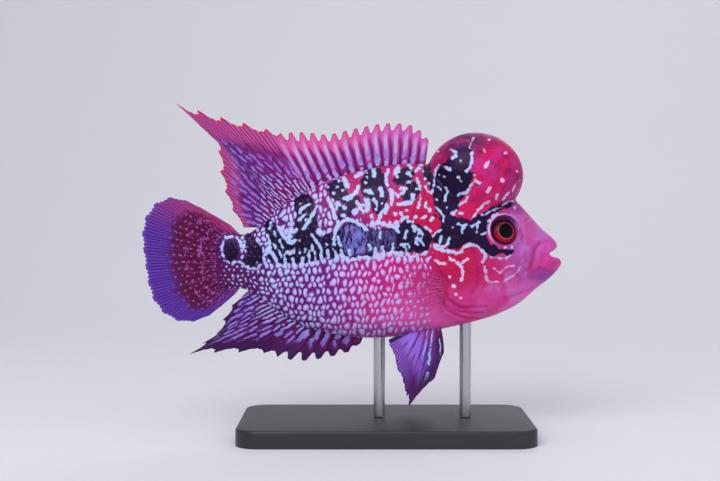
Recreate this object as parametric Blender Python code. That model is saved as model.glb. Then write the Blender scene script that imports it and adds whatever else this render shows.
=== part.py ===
# A flowerhorn cichlid, 110 mm long, held level on a plain display stand.
# The fish faces +X, its right side is at -Y, and the stand's underside is at Z = 0.
# Sizes below are in millimetres and become metres when a mesh is made.

import math

import bmesh
import bpy
import numpy as np
from mathutils import Matrix, Vector

MM = 0.001
GAP = 0.3                     # clearance between neighbouring pieces
MERGE_DISTANCE = 0.000001     # in metres: corners nearer than this are one
BODY_SMOOTH_ANGLE = 40.0      # edges flatter than these angles are shaded smooth
FIN_SMOOTH_ANGLE = 25.0
BASE_SMOOTH_ANGLE = 30.0

# Lengths along the fish, measured from the middle of its total length
JAW_TIP_X = 55.0              # tip of the lower lip
FIN_ROOT_X = -32.5            # where the stalk ends and the caudal fin starts
STALK_CUT_X = -24.0           # joint between torso and tail stalk

# Back and belly lines of the body, as (x, z)
BACK_LINE = [(-32.5, 52.7), (-26.5, 53.1), (-22.5, 55.8), (-16.8, 61.0), (-9.4, 65.2), (-2.1, 68.0),
             (5.2, 69.8), (12.6, 71.0), (20.0, 70.8), (27.0, 68.6), (35.0, 65.2), (43.5, 61.0),
             (47.0, 57.2), (50.3, 53.7), (52.2, 52.1), (53.6, 50.6), (54.5, 48.4), (55.0, 45.9)]
BELLY_LINE = [(-32.5, 38.4), (-27.8, 38.2), (-19.9, 33.0), (-13.4, 28.9), (-5.5, 26.6), (4.0, 25.5),
              (11.3, 25.8), (22.3, 27.6), (31.0, 29.5), (37.8, 31.5), (44.0, 34.6), (48.7, 38.6),
              (52.0, 41.2), (53.8, 43.0), (55.0, 44.6)]
# Half width of the body, the height share of its widest level, and how flat its sides are
HALF_WIDTH = [(-32.5, 1.5), (-28.0, 2.5), (-22.0, 3.9), (-14.0, 6.1), (-5.0, 8.3), (5.0, 9.9),
              (15.0, 10.7), (24.0, 10.9), (31.0, 10.3), (37.0, 9.2), (43.0, 7.4), (48.0, 5.6),
              (51.5, 4.4), (53.5, 3.3), (55.0, 1.6)]
WIDEST_SHARE = [(-32.5, 0.50), (5.0, 0.47), (24.0, 0.40), (40.0, 0.42), (55.0, 0.46)]
BACK_FLATNESS = [(-32.5, 1.0), (5.0, 0.86), (24.0, 0.90), (42.0, 1.02), (55.0, 0.80)]
BELLY_FLATNESS = [(-32.5, 1.0), (-5.0, 0.95), (20.0, 0.78), (38.0, 0.84), (55.0, 0.80)]
RING_SIDES = 28
TORSO_STATION = 2.4           # spacing of the loft's rings behind the head
HEAD_STATION = 1.45           # and on the head
HEAD_START_X = 20.0
CUTTER_REACH = 30.0           # how far a cutting block reaches to each side of the fish

# Forehead hump
HUMP_CENTRE = (32.4, 0.0, 68.0)
HUMP_RADII = (12.6, 9.7, 11.4)
HUMP_RINGS = 14
HUMP_SEGMENTS = 26

# Joints between the pieces of the body, as (x, z) lines seen from the side
NECK_JOINT = [(20.7, 76.0), (22.2, 58.0), (24.6, 50.0), (27.0, 42.0), (28.2, 34.0), (31.5, 30.0),
              (33.4, 22.0)]
STALK_JOINT = [(STALK_CUT_X - 0.6, 62.0), (STALK_CUT_X, 46.0), (STALK_CUT_X - 0.6, 30.0)]
JAW_HINGE = (48.2, 45.2)
MOUTH_CORNER = (50.7, 47.5)
UPPER_JAW_JOINT = [(53.6, 54.2), (51.4, 51.3), (49.7, 50.5), (48.7, 49.4), (48.3, 47.6), JAW_HINGE]
MOUTH_JOINT = [JAW_HINGE, MOUTH_CORNER, (51.4, 47.5)]
LOWER_JAW_JOINT = [JAW_HINGE, (47.5, 43.2), (47.0, 40.0), (47.6, 34.0)]
JOINT_POINTS = ((NECK_JOINT, 14), (STALK_JOINT, 6), (UPPER_JAW_JOINT, 10), (MOUTH_JOINT, 2),
                (LOWER_JAW_JOINT, 6))   # how many points each joint is drawn through
MOUTH_OPENING = [MOUTH_CORNER, (51.6, 48.3), (53.3, 49.5), (57.0, 51.8), (57.0, 44.6), (54.6, 45.7),
                 (52.6, 46.8)]

# Lips, as half widths at the corner and heights at the corner and the tip
UPPER_LIP = {"corner": (50.6, 4.0, 48.1), "tip": (52.9, 49.8), "radius": 0.95}
LOWER_LIP = {"corner": (50.8, 4.2, 46.4), "tip": (53.9, 45.3), "radius": 1.1}
LIP_CORNER_SHARE = 0.55       # a lip's thickness at the corner, as a share of that at the tip
LIP_ROUNDNESS = 0.8
LIP_STEPS = 14
LIP_SIDES = 10

# Eyes and the rings around them
EYE_CENTRE = (39.5, 53.6)
EYE_RADIUS = 3.75
EYE_DEPTH = 2.9               # half thickness along the sight line
EYE_STANDS_OUT = 1.0          # how far the eye rises above the skin
EYE_SEGMENTS = 20
EYE_RINGS = 10
ORBIT_RADIUS = 4.0
ORBIT_RIM = 0.55
ORBIT_LIFT = 0.05
ORBIT_AROUND = 24
ORBIT_ACROSS = 6
NOSTRIL = (45.6, 56.3)
NOSTRIL_RADIUS = 0.5

# Gill covers
COVER_EDGE = [(20.8, 46.5), (22.0, 50.3), (25.8, 52.3), (30.2, 51.2), (32.7, 46.6), (32.7, 39.8),
              (31.2, 34.7), (27.7, 34.4), (24.9, 37.2), (24.7, 41.3), (22.7, 43.8)]
COVER_OUTLINE_POINTS = 34
COVER_RAISED = 0.45
COVER_DEPTH = 1.2
COVER_CORE = (8.0, 46.0)      # stretch of the body behind the covers

# Fin membranes and rays, as half thicknesses, and how a fin is divided
MEMBRANE_HALF = 0.26
RAY_HALF = 0.52
RAY_TIP_HALF = 0.30
EDGE_HALF = 0.18
FIN_ROWS = 5
MEMBRANE_SHARES = (0.3, 0.7)  # where the membrane is divided between two rays
SWAY_REACH = 8.0              # distance from the root at which a fin sways fully
WAVE_LENGTH = 18.0
ROOT_POINTS = 12              # points along a fin's root line

# Dorsal fin: the root's ends, the spines' tips, then the soft rays' tips along the top and the hind edge
DORSAL_BASE = (19.3, -22.8)
DORSAL_SPINES_END = -10.2     # where the spines end and the soft rays start
DORSAL_SPINES = 15
DORSAL_SPINE_TIPS = [(20.3, 77.3), (17.4, 80.3), (9.8, 81.6), (1.0, 80.2), (-6.6, 78.6), (-11.0, 79.2),
                     (-18.3, 79.1)]
DORSAL_TOP = [(-22.2, 80.3), (-29.6, 82.3), (-36.0, 84.0), (-46.2, 87.2)]
DORSAL_HIND = [(-41.0, 82.6), (-35.4, 78.0), (-34.8, 71.5), (-33.6, 65.6), (-31.6, 59.8), (-28.2, 54.4)]
DORSAL_TOP_RAYS = 5
DORSAL_HIND_RAYS = 7
DORSAL_RAY_SPACING = 1.1      # from the last spine to the first soft ray
DORSAL_TOP_SHARE = 0.36       # share of the soft root that the upper rays take
DORSAL_HIND_SHARE = 0.45      # and where the hind rays start on it
DORSAL_NOTCH = 0.10
DORSAL_WAVE = 0.5

# Anal fin, in the same way
ANAL_BASE = (3.6, -26.0)
ANAL_SPINES_END = -11.0
ANAL_SPINES = 7
ANAL_SPINE_TIPS = [(2.5, 24.0), (-0.8, 21.6), (-5.5, 20.4), (-12.5, 19.4), (-19.4, 20.2)]
ANAL_LOWER = [(-23.0, 21.2), (-29.5, 21.5), (-36.0, 21.3), (-43.0, 20.8)]
ANAL_HIND = [(-39.6, 23.6), (-34.6, 27.4), (-33.2, 31.6), (-30.6, 34.6), (-27.9, 36.9)]
ANAL_LOWER_RAYS = 4
ANAL_HIND_RAYS = 5
ANAL_RAY_SPACING = 1.5
ANAL_LOWER_SHARE = 0.38
ANAL_HIND_SHARE = 0.5
ANAL_NOTCH = 0.10
ANAL_WAVE = -0.5

# Caudal fin
CAUDAL_RAYS = 18
CAUDAL_EDGE = [(-31.6, 55.1), (-37.0, 58.3), (-43.8, 61.7), (-49.0, 62.2), (-52.6, 59.6), (-54.8, 54.5),
               (-54.7, 49.5), (-54.1, 44.5), (-53.4, 39.6), (-51.6, 34.4), (-48.2, 30.9), (-43.6, 29.4),
               (-38.4, 30.6), (-33.0, 34.6), (-30.4, 36.9)]
CAUDAL_OVERLAP = 2.0          # how far the outer rays run forward along the stalk
CAUDAL_CORNER = 2.4           # height over which the root turns round the stalk's end
CAUDAL_NOTCH = 0.035
CAUDAL_WAVE = 0.6
CAUDAL_WAVE_LENGTH = 30.0

# Pelvic fins: the tips are those of the six rays
PELVIC_ROOT = [(23.0, 29.6), (17.6, 29.4)]
PELVIC_TIPS = [(24.1, 22.0), (21.6, 15.2), (14.8, 8.0), (13.9, 12.0), (12.0, 17.4), (9.8, 24.2)]
PELVIC_OUT = 3.6              # how far each root stands from the middle plane
PELVIC_SPLAY = 12.0           # degrees that each fin opens outwards
PELVIC_NOTCH = 0.10
PELVIC_BOW = 0.04

# Pectoral fins
PECTORAL_RAYS = 11
PECTORAL_PLACE = (24.0, 39.2)  # middle of the fin's root
PECTORAL_SUNK = 0.4           # how far the root lies under the skin's line
PECTORAL_ROOT_HEIGHT = 5.4
PECTORAL_ROOT_BULGE = 0.5
PECTORAL_FLARE = 38.0         # degrees between the fin and the body's side
PECTORAL_EDGE = [(-9.5, 7.2), (-13.6, 5.6), (-15.4, 2.0), (-14.6, -2.6), (-11.6, -6.0), (-7.2, -6.8)]
PECTORAL_ROWS = 4
PECTORAL_NOTCH = 0.05
PECTORAL_WAVE = 0.4

# Display stand
BASE_SIZE = (76.0, 42.0, 4.5)
BASE_X = 9.0
BASE_CORNER = 6.0
BASE_CORNER_STEPS = 5
BASE_EDGE = 0.6
ROD_RADIUS = 1.5
ROD_SIDES = 16
ROD_X = {"stand_rod_back": 7.4, "stand_rod_front": 30.0}

# Colours and finishes: red, green, blue, roughness, metallic
FINISHES = {
    "head": (0.50, 0.10, 0.16, 0.40, 0.0),
    "forehead_hump": (0.55, 0.04, 0.09, 0.35, 0.0),
    "upper_jaw": (0.62, 0.20, 0.30, 0.40, 0.0),
    "lower_jaw": (0.60, 0.16, 0.26, 0.40, 0.0),
    "gill_cover": (0.58, 0.06, 0.12, 0.38, 0.0),
    "torso": (0.34, 0.10, 0.20, 0.42, 0.0),
    "tail_stalk": (0.20, 0.08, 0.16, 0.42, 0.0),
    "dorsal_fin": (0.42, 0.10, 0.26, 0.45, 0.0),
    "anal_fin": (0.30, 0.10, 0.26, 0.45, 0.0),
    "caudal_fin": (0.40, 0.08, 0.20, 0.45, 0.0),
    "pelvic_fin": (0.30, 0.12, 0.32, 0.45, 0.0),
    "pectoral_fin": (0.75, 0.42, 0.50, 0.40, 0.0),
    "eye": (0.45, 0.01, 0.02, 0.10, 0.0),
    "stand_base": (0.03, 0.03, 0.035, 0.35, 0.0),
    "stand_rod": (0.62, 0.62, 0.64, 0.25, 1.0),
}


def clear_scene():
    for obj in list(bpy.data.objects):
        bpy.data.objects.remove(obj, do_unlink=True)


def curve_at(points, share):
    """Point of a smooth curve through the given points, at a share of its chord length."""
    pts = np.array(points, dtype=float)
    steps = np.linalg.norm(np.diff(pts, axis=0), axis=1)
    knots = np.concatenate([[0.0], np.cumsum(steps)])
    place = min(max(share, 0.0), 1.0) * knots[-1]
    i = int(min(np.searchsorted(knots, place, side="right") - 1, len(pts) - 2))
    slopes = np.gradient(pts, knots, axis=0)
    return hermite(pts[i], pts[i + 1], slopes[i], slopes[i + 1], steps[i], (place - knots[i]) / steps[i])


def hermite(start, end, start_slope, end_slope, length, t):
    return ((2 * t ** 3 - 3 * t ** 2 + 1) * start + (t ** 3 - 2 * t ** 2 + t) * length * start_slope
            + (3 * t ** 2 - 2 * t ** 3) * end + (t ** 3 - t ** 2) * length * end_slope)


def value_at(profile, x):
    """Height of a smooth profile, given as (x, value) pairs, above x."""
    xs = np.array([p[0] for p in profile])
    values = np.array([p[1] for p in profile])
    x = min(max(x, xs[0]), xs[-1])
    i = int(min(np.searchsorted(xs, x, side="right") - 1, len(xs) - 2))
    slopes = np.gradient(values, xs)
    span = xs[i + 1] - xs[i]
    return float(hermite(values[i], values[i + 1], slopes[i], slopes[i + 1], span, (x - xs[i]) / span))


def section(x):
    """The body's cross-section at x: top, bottom, widest level, half width and flatness."""
    top = value_at(BACK_LINE, x)
    bottom = value_at(BELLY_LINE, x)
    widest = bottom + (top - bottom) * value_at(WIDEST_SHARE, x)
    return (top, bottom, widest, value_at(HALF_WIDTH, x),
            value_at(BACK_FLATNESS, x), value_at(BELLY_FLATNESS, x))


def side_y(x, z):
    """Distance of the skin from the middle plane at (x, z)."""
    top, bottom, widest, half, back_power, belly_power = section(x)
    reach = top - widest if z > widest else widest - bottom
    level = min(abs(z - widest) / reach, 1.0)
    power = back_power if z > widest else belly_power
    return half * math.sqrt(1.0 - level * level) ** power


def skin_frame(x, z, side):
    """A matrix on the skin at (x, z) whose Z axis points straight out of the body."""
    step = 0.5
    along = (side_y(x + step, z) - side_y(x - step, z)) / (2 * step)
    up = (side_y(x, z + step) - side_y(x, z - step)) / (2 * step)
    out = Vector((-along, side, -up)).normalized()
    forward = Vector((1.0, 0.0, 0.0))
    forward = (forward - out * forward.dot(out)).normalized()
    frame = Matrix((forward, out.cross(forward), out)).transposed().to_4x4()
    frame.translation = Vector((x, side * side_y(x, z), z))
    return frame


def finish_material(name):
    red, green, blue, roughness, metallic = FINISHES[name]
    material = bpy.data.materials.get(name) or bpy.data.materials.new(name)
    material.use_nodes = True
    shader = material.node_tree.nodes["Principled BSDF"]
    shader.inputs["Base Color"].default_value = (red, green, blue, 1.0)
    shader.inputs["Roughness"].default_value = roughness
    shader.inputs["Metallic"].default_value = metallic
    return material


def add_object(name, bm, finish, smooth_angle=BODY_SMOOTH_ANGLE):
    """Turns a bmesh in millimetres into a named object in metres."""
    bmesh.ops.triangulate(bm, faces=bm.faces[:])
    bmesh.ops.recalc_face_normals(bm, faces=bm.faces[:])
    bmesh.ops.scale(bm, vec=(MM, MM, MM), verts=bm.verts[:])
    mesh = bpy.data.meshes.new(name)
    bm.to_mesh(mesh)
    bm.free()
    mesh.shade_smooth()
    mesh.set_sharp_from_angle(angle=math.radians(smooth_angle))
    obj = bpy.data.objects.new(name, mesh)
    bpy.context.scene.collection.objects.link(obj)
    mesh.materials.append(finish_material(finish))
    return obj


def combine(obj, others, operation):
    """Applies one Boolean with each of the other objects and removes them."""
    for other in others:
        modifier = obj.modifiers.new("shape", "BOOLEAN")
        modifier.operation = operation
        modifier.solver = "EXACT"
        modifier.object = other
    bpy.context.view_layer.update()
    evaluated = obj.evaluated_get(bpy.context.evaluated_depsgraph_get())
    mesh = bpy.data.meshes.new_from_object(evaluated)
    obj.modifiers.clear()
    obj.data = mesh
    for other in others:
        bpy.data.objects.remove(other, do_unlink=True)


def islands(bm):
    """The closed surfaces of a bmesh, each as a list of faces."""
    left = set(bm.faces)
    found = []
    while left:
        stack = [left.pop()]
        faces = []
        while stack:
            face = stack.pop()
            faces.append(face)
            near = {other for edge in face.edges for other in edge.link_faces} & left
            left -= near
            stack.extend(near)
        found.append(faces)
    return found


def tidy(bm):
    """Merges doubled points and removes flat slivers that a cut leaves."""
    bmesh.ops.remove_doubles(bm, verts=bm.verts[:], dist=MERGE_DISTANCE)
    bmesh.ops.dissolve_degenerate(bm, edges=bm.edges[:], dist=MERGE_DISTANCE)
    bmesh.ops.triangulate(bm, faces=bm.faces[:])


def keep_largest(obj):
    bm = bmesh.new()
    bm.from_mesh(obj.data)
    tidy(bm)
    found = sorted(islands(bm), key=lambda faces: sum(f.calc_area() for f in faces))
    for faces in found[:-1]:
        bmesh.ops.delete(bm, geom=faces, context="FACES")
    bmesh.ops.delete(bm, geom=[v for v in bm.verts if not v.link_faces], context="VERTS")
    bm.to_mesh(obj.data)
    bm.free()


def body_stations(x_from, x_to):
    """Where the loft's rings stand, closer together on the head."""
    back = np.linspace(FIN_ROOT_X, HEAD_START_X, round((HEAD_START_X - FIN_ROOT_X) / TORSO_STATION) + 1)
    front = np.linspace(HEAD_START_X, JAW_TIP_X, round((JAW_TIP_X - HEAD_START_X) / HEAD_STATION) + 1)
    return [x for x in list(back) + list(front[1:]) if x_from <= x <= x_to]


def loft_body(name, swell=0.0, x_from=FIN_ROOT_X, x_to=JAW_TIP_X):
    """The body and head as one loft, swollen or shrunk by a margin where it is a cutter."""
    bm = bmesh.new()
    rings = []
    stations = body_stations(x_from, x_to)
    for x in stations:
        top, bottom, widest, half, back_power, belly_power = section(x)
        top, bottom, half = top + swell, bottom - swell, half + swell
        end_shift = swell if x == stations[-1] else -swell if x == stations[0] else 0.0
        ring = []
        for k in range(RING_SIDES):
            angle = 2 * math.pi * (k + 0.5) / RING_SIDES
            across, up = math.sin(angle), math.cos(angle)
            power = back_power if up > 0 else belly_power
            reach = top - widest if up > 0 else widest - bottom
            ring.append(bm.verts.new((x + end_shift, half * math.copysign(abs(across) ** power, across),
                                      widest + reach * up)))
        rings.append(ring)
    for ring, following in zip(rings, rings[1:]):
        for k in range(RING_SIDES):
            after = (k + 1) % RING_SIDES
            bm.faces.new((ring[k], ring[after], following[after], following[k]))
    bm.faces.new(rings[0])
    bm.faces.new(rings[-1][::-1])
    return add_object(name, bm, "torso")


def prism(name, outline, y_from=-CUTTER_REACH, y_to=CUTTER_REACH):
    """A closed block whose side view is the outline, reaching across the fish."""
    bm = bmesh.new()
    face = bm.faces.new([bm.verts.new((x, y_from, z)) for x, z in outline])
    made = bmesh.ops.extrude_face_region(bm, geom=[face])
    moved = [v for v in made["geom"] if isinstance(v, bmesh.types.BMVert)]
    bmesh.ops.translate(bm, verts=moved, vec=(0.0, y_to - y_from, 0.0))
    return add_object(name, bm, "torso")


def smooth_outline(points, count, margin=0.0):
    """A closed smooth outline through the points, moved outwards by a margin."""
    closed = list(points) + [points[0]]
    line = np.array([curve_at(closed, k / count) for k in range(count)])
    ahead = np.roll(line, -1, axis=0) - np.roll(line, 1, axis=0)
    normal = np.column_stack([-ahead[:, 1], ahead[:, 0]]) / np.linalg.norm(ahead, axis=1)[:, None]
    area = np.sum(line[:, 0] * np.roll(line[:, 1], -1) - line[:, 1] * np.roll(line[:, 0], -1))
    return line + normal * (-margin if area > 0 else margin)


def thin_cut(name, line):
    """A curtain as thick as the gap that follows a line seen from the side."""
    pts = np.array(line, dtype=float)
    ahead = np.gradient(pts, axis=0)
    normal = np.column_stack([-ahead[:, 1], ahead[:, 0]]) / np.linalg.norm(ahead, axis=1)[:, None]
    outline = np.vstack([pts + normal * GAP / 2, (pts - normal * GAP / 2)[::-1]])
    return prism(name, outline)


def bend(points, count):
    """Extra points along a joint's line, so that it runs in a smooth curve."""
    return [curve_at(points, k / count) for k in range(count + 1)]


def lip(name, sizes):
    """A rounded lip from one corner of the mouth round its tip to the other."""
    corner_x, corner_y, corner_z = sizes["corner"]
    tip_x, tip_z = sizes["tip"]
    bm = bmesh.new()
    rings = []
    for step in range(LIP_STEPS + 1):
        turn = math.pi * (step / LIP_STEPS - 0.5)
        forward = max(math.cos(turn), 0.0) ** LIP_ROUNDNESS
        centre = Vector((corner_x + (tip_x - corner_x) * forward, corner_y * math.sin(turn),
                         corner_z + (tip_z - corner_z) * forward))
        ahead = Vector((-math.sin(turn) * (tip_x - corner_x), corner_y * math.cos(turn) + 0.01, 0.0))
        ahead.normalize()
        out = Vector((ahead.y, -ahead.x, 0.0))
        radius = sizes["radius"] * (LIP_CORNER_SHARE + (1.0 - LIP_CORNER_SHARE) * forward)
        ring = []
        for k in range(LIP_SIDES):
            angle = 2 * math.pi * k / LIP_SIDES
            round_lip = math.cos(angle) * out + Vector((0.0, 0.0, math.sin(angle)))
            ring.append(bm.verts.new(centre + radius * round_lip))
        rings.append(ring)
    for ring, following in zip(rings, rings[1:]):
        for k in range(LIP_SIDES):
            after = (k + 1) % LIP_SIDES
            bm.faces.new((ring[k], ring[after], following[after], following[k]))
    bm.faces.new(rings[0])
    bm.faces.new(rings[-1][::-1])
    return add_object(name, bm, "torso")


def eye_frame(side):
    frame = skin_frame(EYE_CENTRE[0], EYE_CENTRE[1], side)
    return frame @ Matrix.Translation((0.0, 0.0, EYE_STANDS_OUT - EYE_DEPTH))


def eyeball(name, side, margin=0.0):
    bm = bmesh.new()
    bmesh.ops.create_uvsphere(bm, u_segments=EYE_SEGMENTS, v_segments=EYE_RINGS, radius=1.0)
    radius, depth = EYE_RADIUS + margin, EYE_DEPTH + margin
    bmesh.ops.scale(bm, vec=(radius, radius, depth), verts=bm.verts[:])
    bmesh.ops.transform(bm, matrix=eye_frame(side), verts=bm.verts[:])
    return add_object(name, bm, "eye")


def orbit_ring(name, side):
    """The raised rim of skin round an eye."""
    bm = bmesh.new()
    frame = skin_frame(EYE_CENTRE[0], EYE_CENTRE[1], side)
    rings = []
    for i in range(ORBIT_AROUND):
        turn = 2 * math.pi * i / ORBIT_AROUND
        out = Vector((math.cos(turn), math.sin(turn), 0.0))
        flat = out * ORBIT_RADIUS
        x, z = (frame @ flat).x, (frame @ flat).z
        centre = Vector((x, side * (side_y(x, z) + ORBIT_LIFT), z))
        ring = []
        for k in range(ORBIT_ACROSS):
            angle = 2 * math.pi * k / ORBIT_ACROSS
            rim = out * math.cos(angle) + Vector((0.0, 0.0, math.sin(angle)))
            ring.append(bm.verts.new(centre + frame.to_3x3() @ rim * ORBIT_RIM))
        rings.append(ring)
    for i in range(ORBIT_AROUND):
        following = rings[(i + 1) % ORBIT_AROUND]
        for k in range(ORBIT_ACROSS):
            after = (k + 1) % ORBIT_ACROSS
            bm.faces.new((rings[i][k], following[k], following[after], rings[i][after]))
    return add_object(name, bm, "torso")


def nostril_pit(name, side):
    bm = bmesh.new()
    bmesh.ops.create_icosphere(bm, subdivisions=1, radius=NOSTRIL_RADIUS)
    bmesh.ops.transform(bm, matrix=skin_frame(NOSTRIL[0], NOSTRIL[1], side), verts=bm.verts[:])
    return add_object(name, bm, "torso")


def cover_pocket(name, side):
    """The recess under a gill cover."""
    outline = smooth_outline(COVER_EDGE, COVER_OUTLINE_POINTS, GAP)
    pocket = prism(name, outline, *sorted((0.0, side * CUTTER_REACH)))
    combine(pocket, [loft_body("pocket_floor", -COVER_DEPTH - GAP, *COVER_CORE)], "DIFFERENCE")
    return pocket


def make_gill_cover(name, side):
    outline = smooth_outline(COVER_EDGE, COVER_OUTLINE_POINTS)
    cover = prism(name, outline, *sorted((0.0, side * CUTTER_REACH)))
    combine(cover, [loft_body("cover_skin", COVER_RAISED)], "INTERSECT")
    combine(cover, [loft_body("cover_back", -COVER_DEPTH, *COVER_CORE)], "DIFFERENCE")
    keep_largest(cover)
    cover.data.materials.clear()
    cover.data.materials.append(finish_material("gill_cover"))
    return cover


def make_hump():
    bm = bmesh.new()
    bmesh.ops.create_uvsphere(bm, u_segments=HUMP_SEGMENTS, v_segments=HUMP_RINGS, radius=1.0)
    bmesh.ops.scale(bm, vec=HUMP_RADII, verts=bm.verts[:])
    bmesh.ops.translate(bm, vec=HUMP_CENTRE, verts=bm.verts[:])
    hump = add_object("forehead_hump", bm, "forehead_hump")
    cutters = [loft_body("hump_seat", GAP)]
    for side in (-1, 1):
        cutters.append(eyeball("hump_eye_room", side, ORBIT_RIM + 2 * GAP))
    combine(hump, cutters, "DIFFERENCE")
    keep_largest(hump)


def make_body():
    """Body, head and jaws as one form, parted into named pieces by thin cuts."""
    body = loft_body("body")
    added = [lip("upper_lip", UPPER_LIP), lip("lower_lip", LOWER_LIP)]
    added += [orbit_ring("orbit", side) for side in (-1, 1)]
    cutters = [prism("mouth_opening", MOUTH_OPENING)]
    for side in (-1, 1):
        cutters += [eyeball("eye_socket", side, GAP), nostril_pit("nostril", side)]
        cutters.append(cover_pocket("pocket", side))
    for line, count in JOINT_POINTS:
        cutters.append(thin_cut("joint", bend(line, count)))
    combine(body, [cutters.pop(0)], "DIFFERENCE")
    combine(body, added, "UNION")
    combine(body, cutters, "DIFFERENCE")
    split_body(body)


def split_body(body):
    """Gives each closed surface of the parted body its own named object."""
    middles = {"head": (38.0, 48.0), "torso": (0.0, 48.0), "tail_stalk": (-28.0, 45.5),
               "upper_jaw": (50.8, 49.3), "lower_jaw": (50.8, 42.0)}
    bm = bmesh.new()
    bm.from_mesh(body.data)
    tidy(bm)
    largest = {}
    for faces in islands(bm):
        area = sum(face.calc_area() for face in faces)
        places = [v.co for face in faces for v in face.verts]
        x = (min(p.x for p in places) + max(p.x for p in places)) / (2 * MM)
        z = (min(p.z for p in places) + max(p.z for p in places)) / (2 * MM)
        name = min(middles, key=lambda n: math.hypot(x - middles[n][0], z - middles[n][1]))
        if area > largest.get(name, (0.0, None))[0]:
            largest[name] = (area, faces)
    for name, (area, faces) in largest.items():
        piece = bmesh.new()
        copies = {}
        for face in faces:
            corners = []
            for vert in face.verts:
                if vert not in copies:
                    copies[vert] = piece.verts.new(vert.co / MM)
                corners.append(copies[vert])
            piece.faces.new(corners)
        add_object(name, piece, name)
    bm.free()
    bpy.data.objects.remove(body, do_unlink=True)


def make_eyes():
    for side, word in ((1, "left"), (-1, "right")):
        eyeball("eye_" + word, side)


def rays_between(root_line, edge_line, count, root_from=0.0, root_to=1.0):
    """Fin rays as (root, tip) pairs, spread evenly along the root and the free edge."""
    rays = []
    for share in np.linspace(0.0, 1.0, count):
        root = curve_at(root_line, root_from + (root_to - root_from) * share)
        rays.append((root, curve_at(edge_line, share)))
    return rays


def ray_point(root, tip, along, bow):
    run = tip - root
    sideways = np.array([-run[1], run[0]])
    return root + run * along + sideways * bow * 4 * along * (1 - along)


def fin_columns(rays, rows, notch, bow):
    """Points and half thicknesses down each ray and down the membrane beside it."""
    columns = []
    for i, (root, tip) in enumerate(rays):
        ray_points = [ray_point(root, tip, row / rows, bow) for row in range(rows + 1)]
        thick = [RAY_HALF + (RAY_TIP_HALF - RAY_HALF) * row / rows for row in range(rows)] + [EDGE_HALF]
        columns.append((ray_points, thick))
        if i + 1 == len(rays):
            break
        next_root, next_tip = rays[i + 1]
        for share in MEMBRANE_SHARES:
            points = []
            for row in range(rows + 1):
                along = (1.0 - notch) * row / rows
                here = ray_point(root, tip, along, bow)
                there = ray_point(next_root, next_tip, along, bow)
                points.append(here + (there - here) * share)
            columns.append((points, [MEMBRANE_HALF] * rows + [EDGE_HALF]))
    return columns


def fin_face(bm, columns, side, wave, wave_length):
    """The points of one face of a fin, swaying in and out along its length."""
    grid = []
    for points, thick in columns:
        root = points[0]
        column = []
        for (x, z), half in zip(points, thick):
            reach = min(math.hypot(x - root[0], z - root[1]) / SWAY_REACH, 1.0)
            sway = wave * reach * math.sin(2 * math.pi * x / wave_length)
            column.append(bm.verts.new((x, sway + side * half, z)))
        grid.append(column)
    return grid


def make_fin(name, rays, finish, notch, rows=FIN_ROWS, bow=0.0, wave=0.0, wave_length=WAVE_LENGTH,
             place=None):
    """A fin as one closed sheet, its rays raised in its own surface on both faces."""
    columns = fin_columns(rays, rows, notch, bow)
    bm = bmesh.new()
    near = fin_face(bm, columns, -1, wave, wave_length)
    far = fin_face(bm, columns, 1, wave, wave_length)
    for i in range(len(columns) - 1):
        for row in range(rows):
            for grid in (near, far):
                a, b = grid[i][row], grid[i + 1][row]
                c, d = grid[i + 1][row + 1], grid[i][row + 1]
                bm.faces.new((a, b, c))
                bm.faces.new((a, c, d))
    last = len(columns) - 1
    border = [(i, rows) for i in range(last)] + [(last, row) for row in range(rows, 0, -1)]
    border += [(i, 0) for i in range(last, 0, -1)] + [(0, row) for row in range(rows)]
    for (i, row), (j, next_row) in zip(border, border[1:] + border[:1]):
        bm.faces.new((near[i][row], near[j][next_row], far[j][next_row]))
        bm.faces.new((near[i][row], far[j][next_row], far[i][row]))
    if place is not None:
        bmesh.ops.transform(bm, matrix=place, verts=bm.verts[:])
    return add_object(name, bm, finish, smooth_angle=FIN_SMOOTH_ANGLE)


def along_back(x_from, x_to, count=ROOT_POINTS):
    """A fin's root line, one gap above the back."""
    return [(x, value_at(BACK_LINE, x) + GAP) for x in np.linspace(x_from, x_to, count)]


def along_belly(x_from, x_to, count=ROOT_POINTS):
    return [(x, value_at(BELLY_LINE, x) - GAP) for x in np.linspace(x_from, x_to, count)]


def make_dorsal_fin():
    rays = rays_between(along_back(DORSAL_BASE[0], DORSAL_SPINES_END), DORSAL_SPINE_TIPS, DORSAL_SPINES)
    soft_root = along_back(DORSAL_SPINES_END - DORSAL_RAY_SPACING, DORSAL_BASE[1])
    rays += rays_between(soft_root, DORSAL_TOP, DORSAL_TOP_RAYS, root_to=DORSAL_TOP_SHARE)
    rays += rays_between(soft_root, DORSAL_HIND, DORSAL_HIND_RAYS, root_from=DORSAL_HIND_SHARE)
    make_fin("dorsal_fin", rays, "dorsal_fin", DORSAL_NOTCH, wave=DORSAL_WAVE)


def make_anal_fin():
    rays = rays_between(along_belly(ANAL_BASE[0], ANAL_SPINES_END), ANAL_SPINE_TIPS, ANAL_SPINES)
    soft_root = along_belly(ANAL_SPINES_END - ANAL_RAY_SPACING, ANAL_BASE[1])
    rays += rays_between(soft_root, ANAL_LOWER, ANAL_LOWER_RAYS, root_to=ANAL_LOWER_SHARE)
    rays += rays_between(soft_root, ANAL_HIND, ANAL_HIND_RAYS, root_from=ANAL_HIND_SHARE)
    make_fin("anal_fin", rays, "anal_fin", ANAL_NOTCH, wave=ANAL_WAVE)


def polyline_at(points, share):
    pts = np.array(points, dtype=float)
    knots = np.concatenate([[0.0], np.cumsum(np.linalg.norm(np.diff(pts, axis=0), axis=1))])
    place = share * knots[-1]
    return np.array([np.interp(place, knots, pts[:, 0]), np.interp(place, knots, pts[:, 1])])


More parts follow.
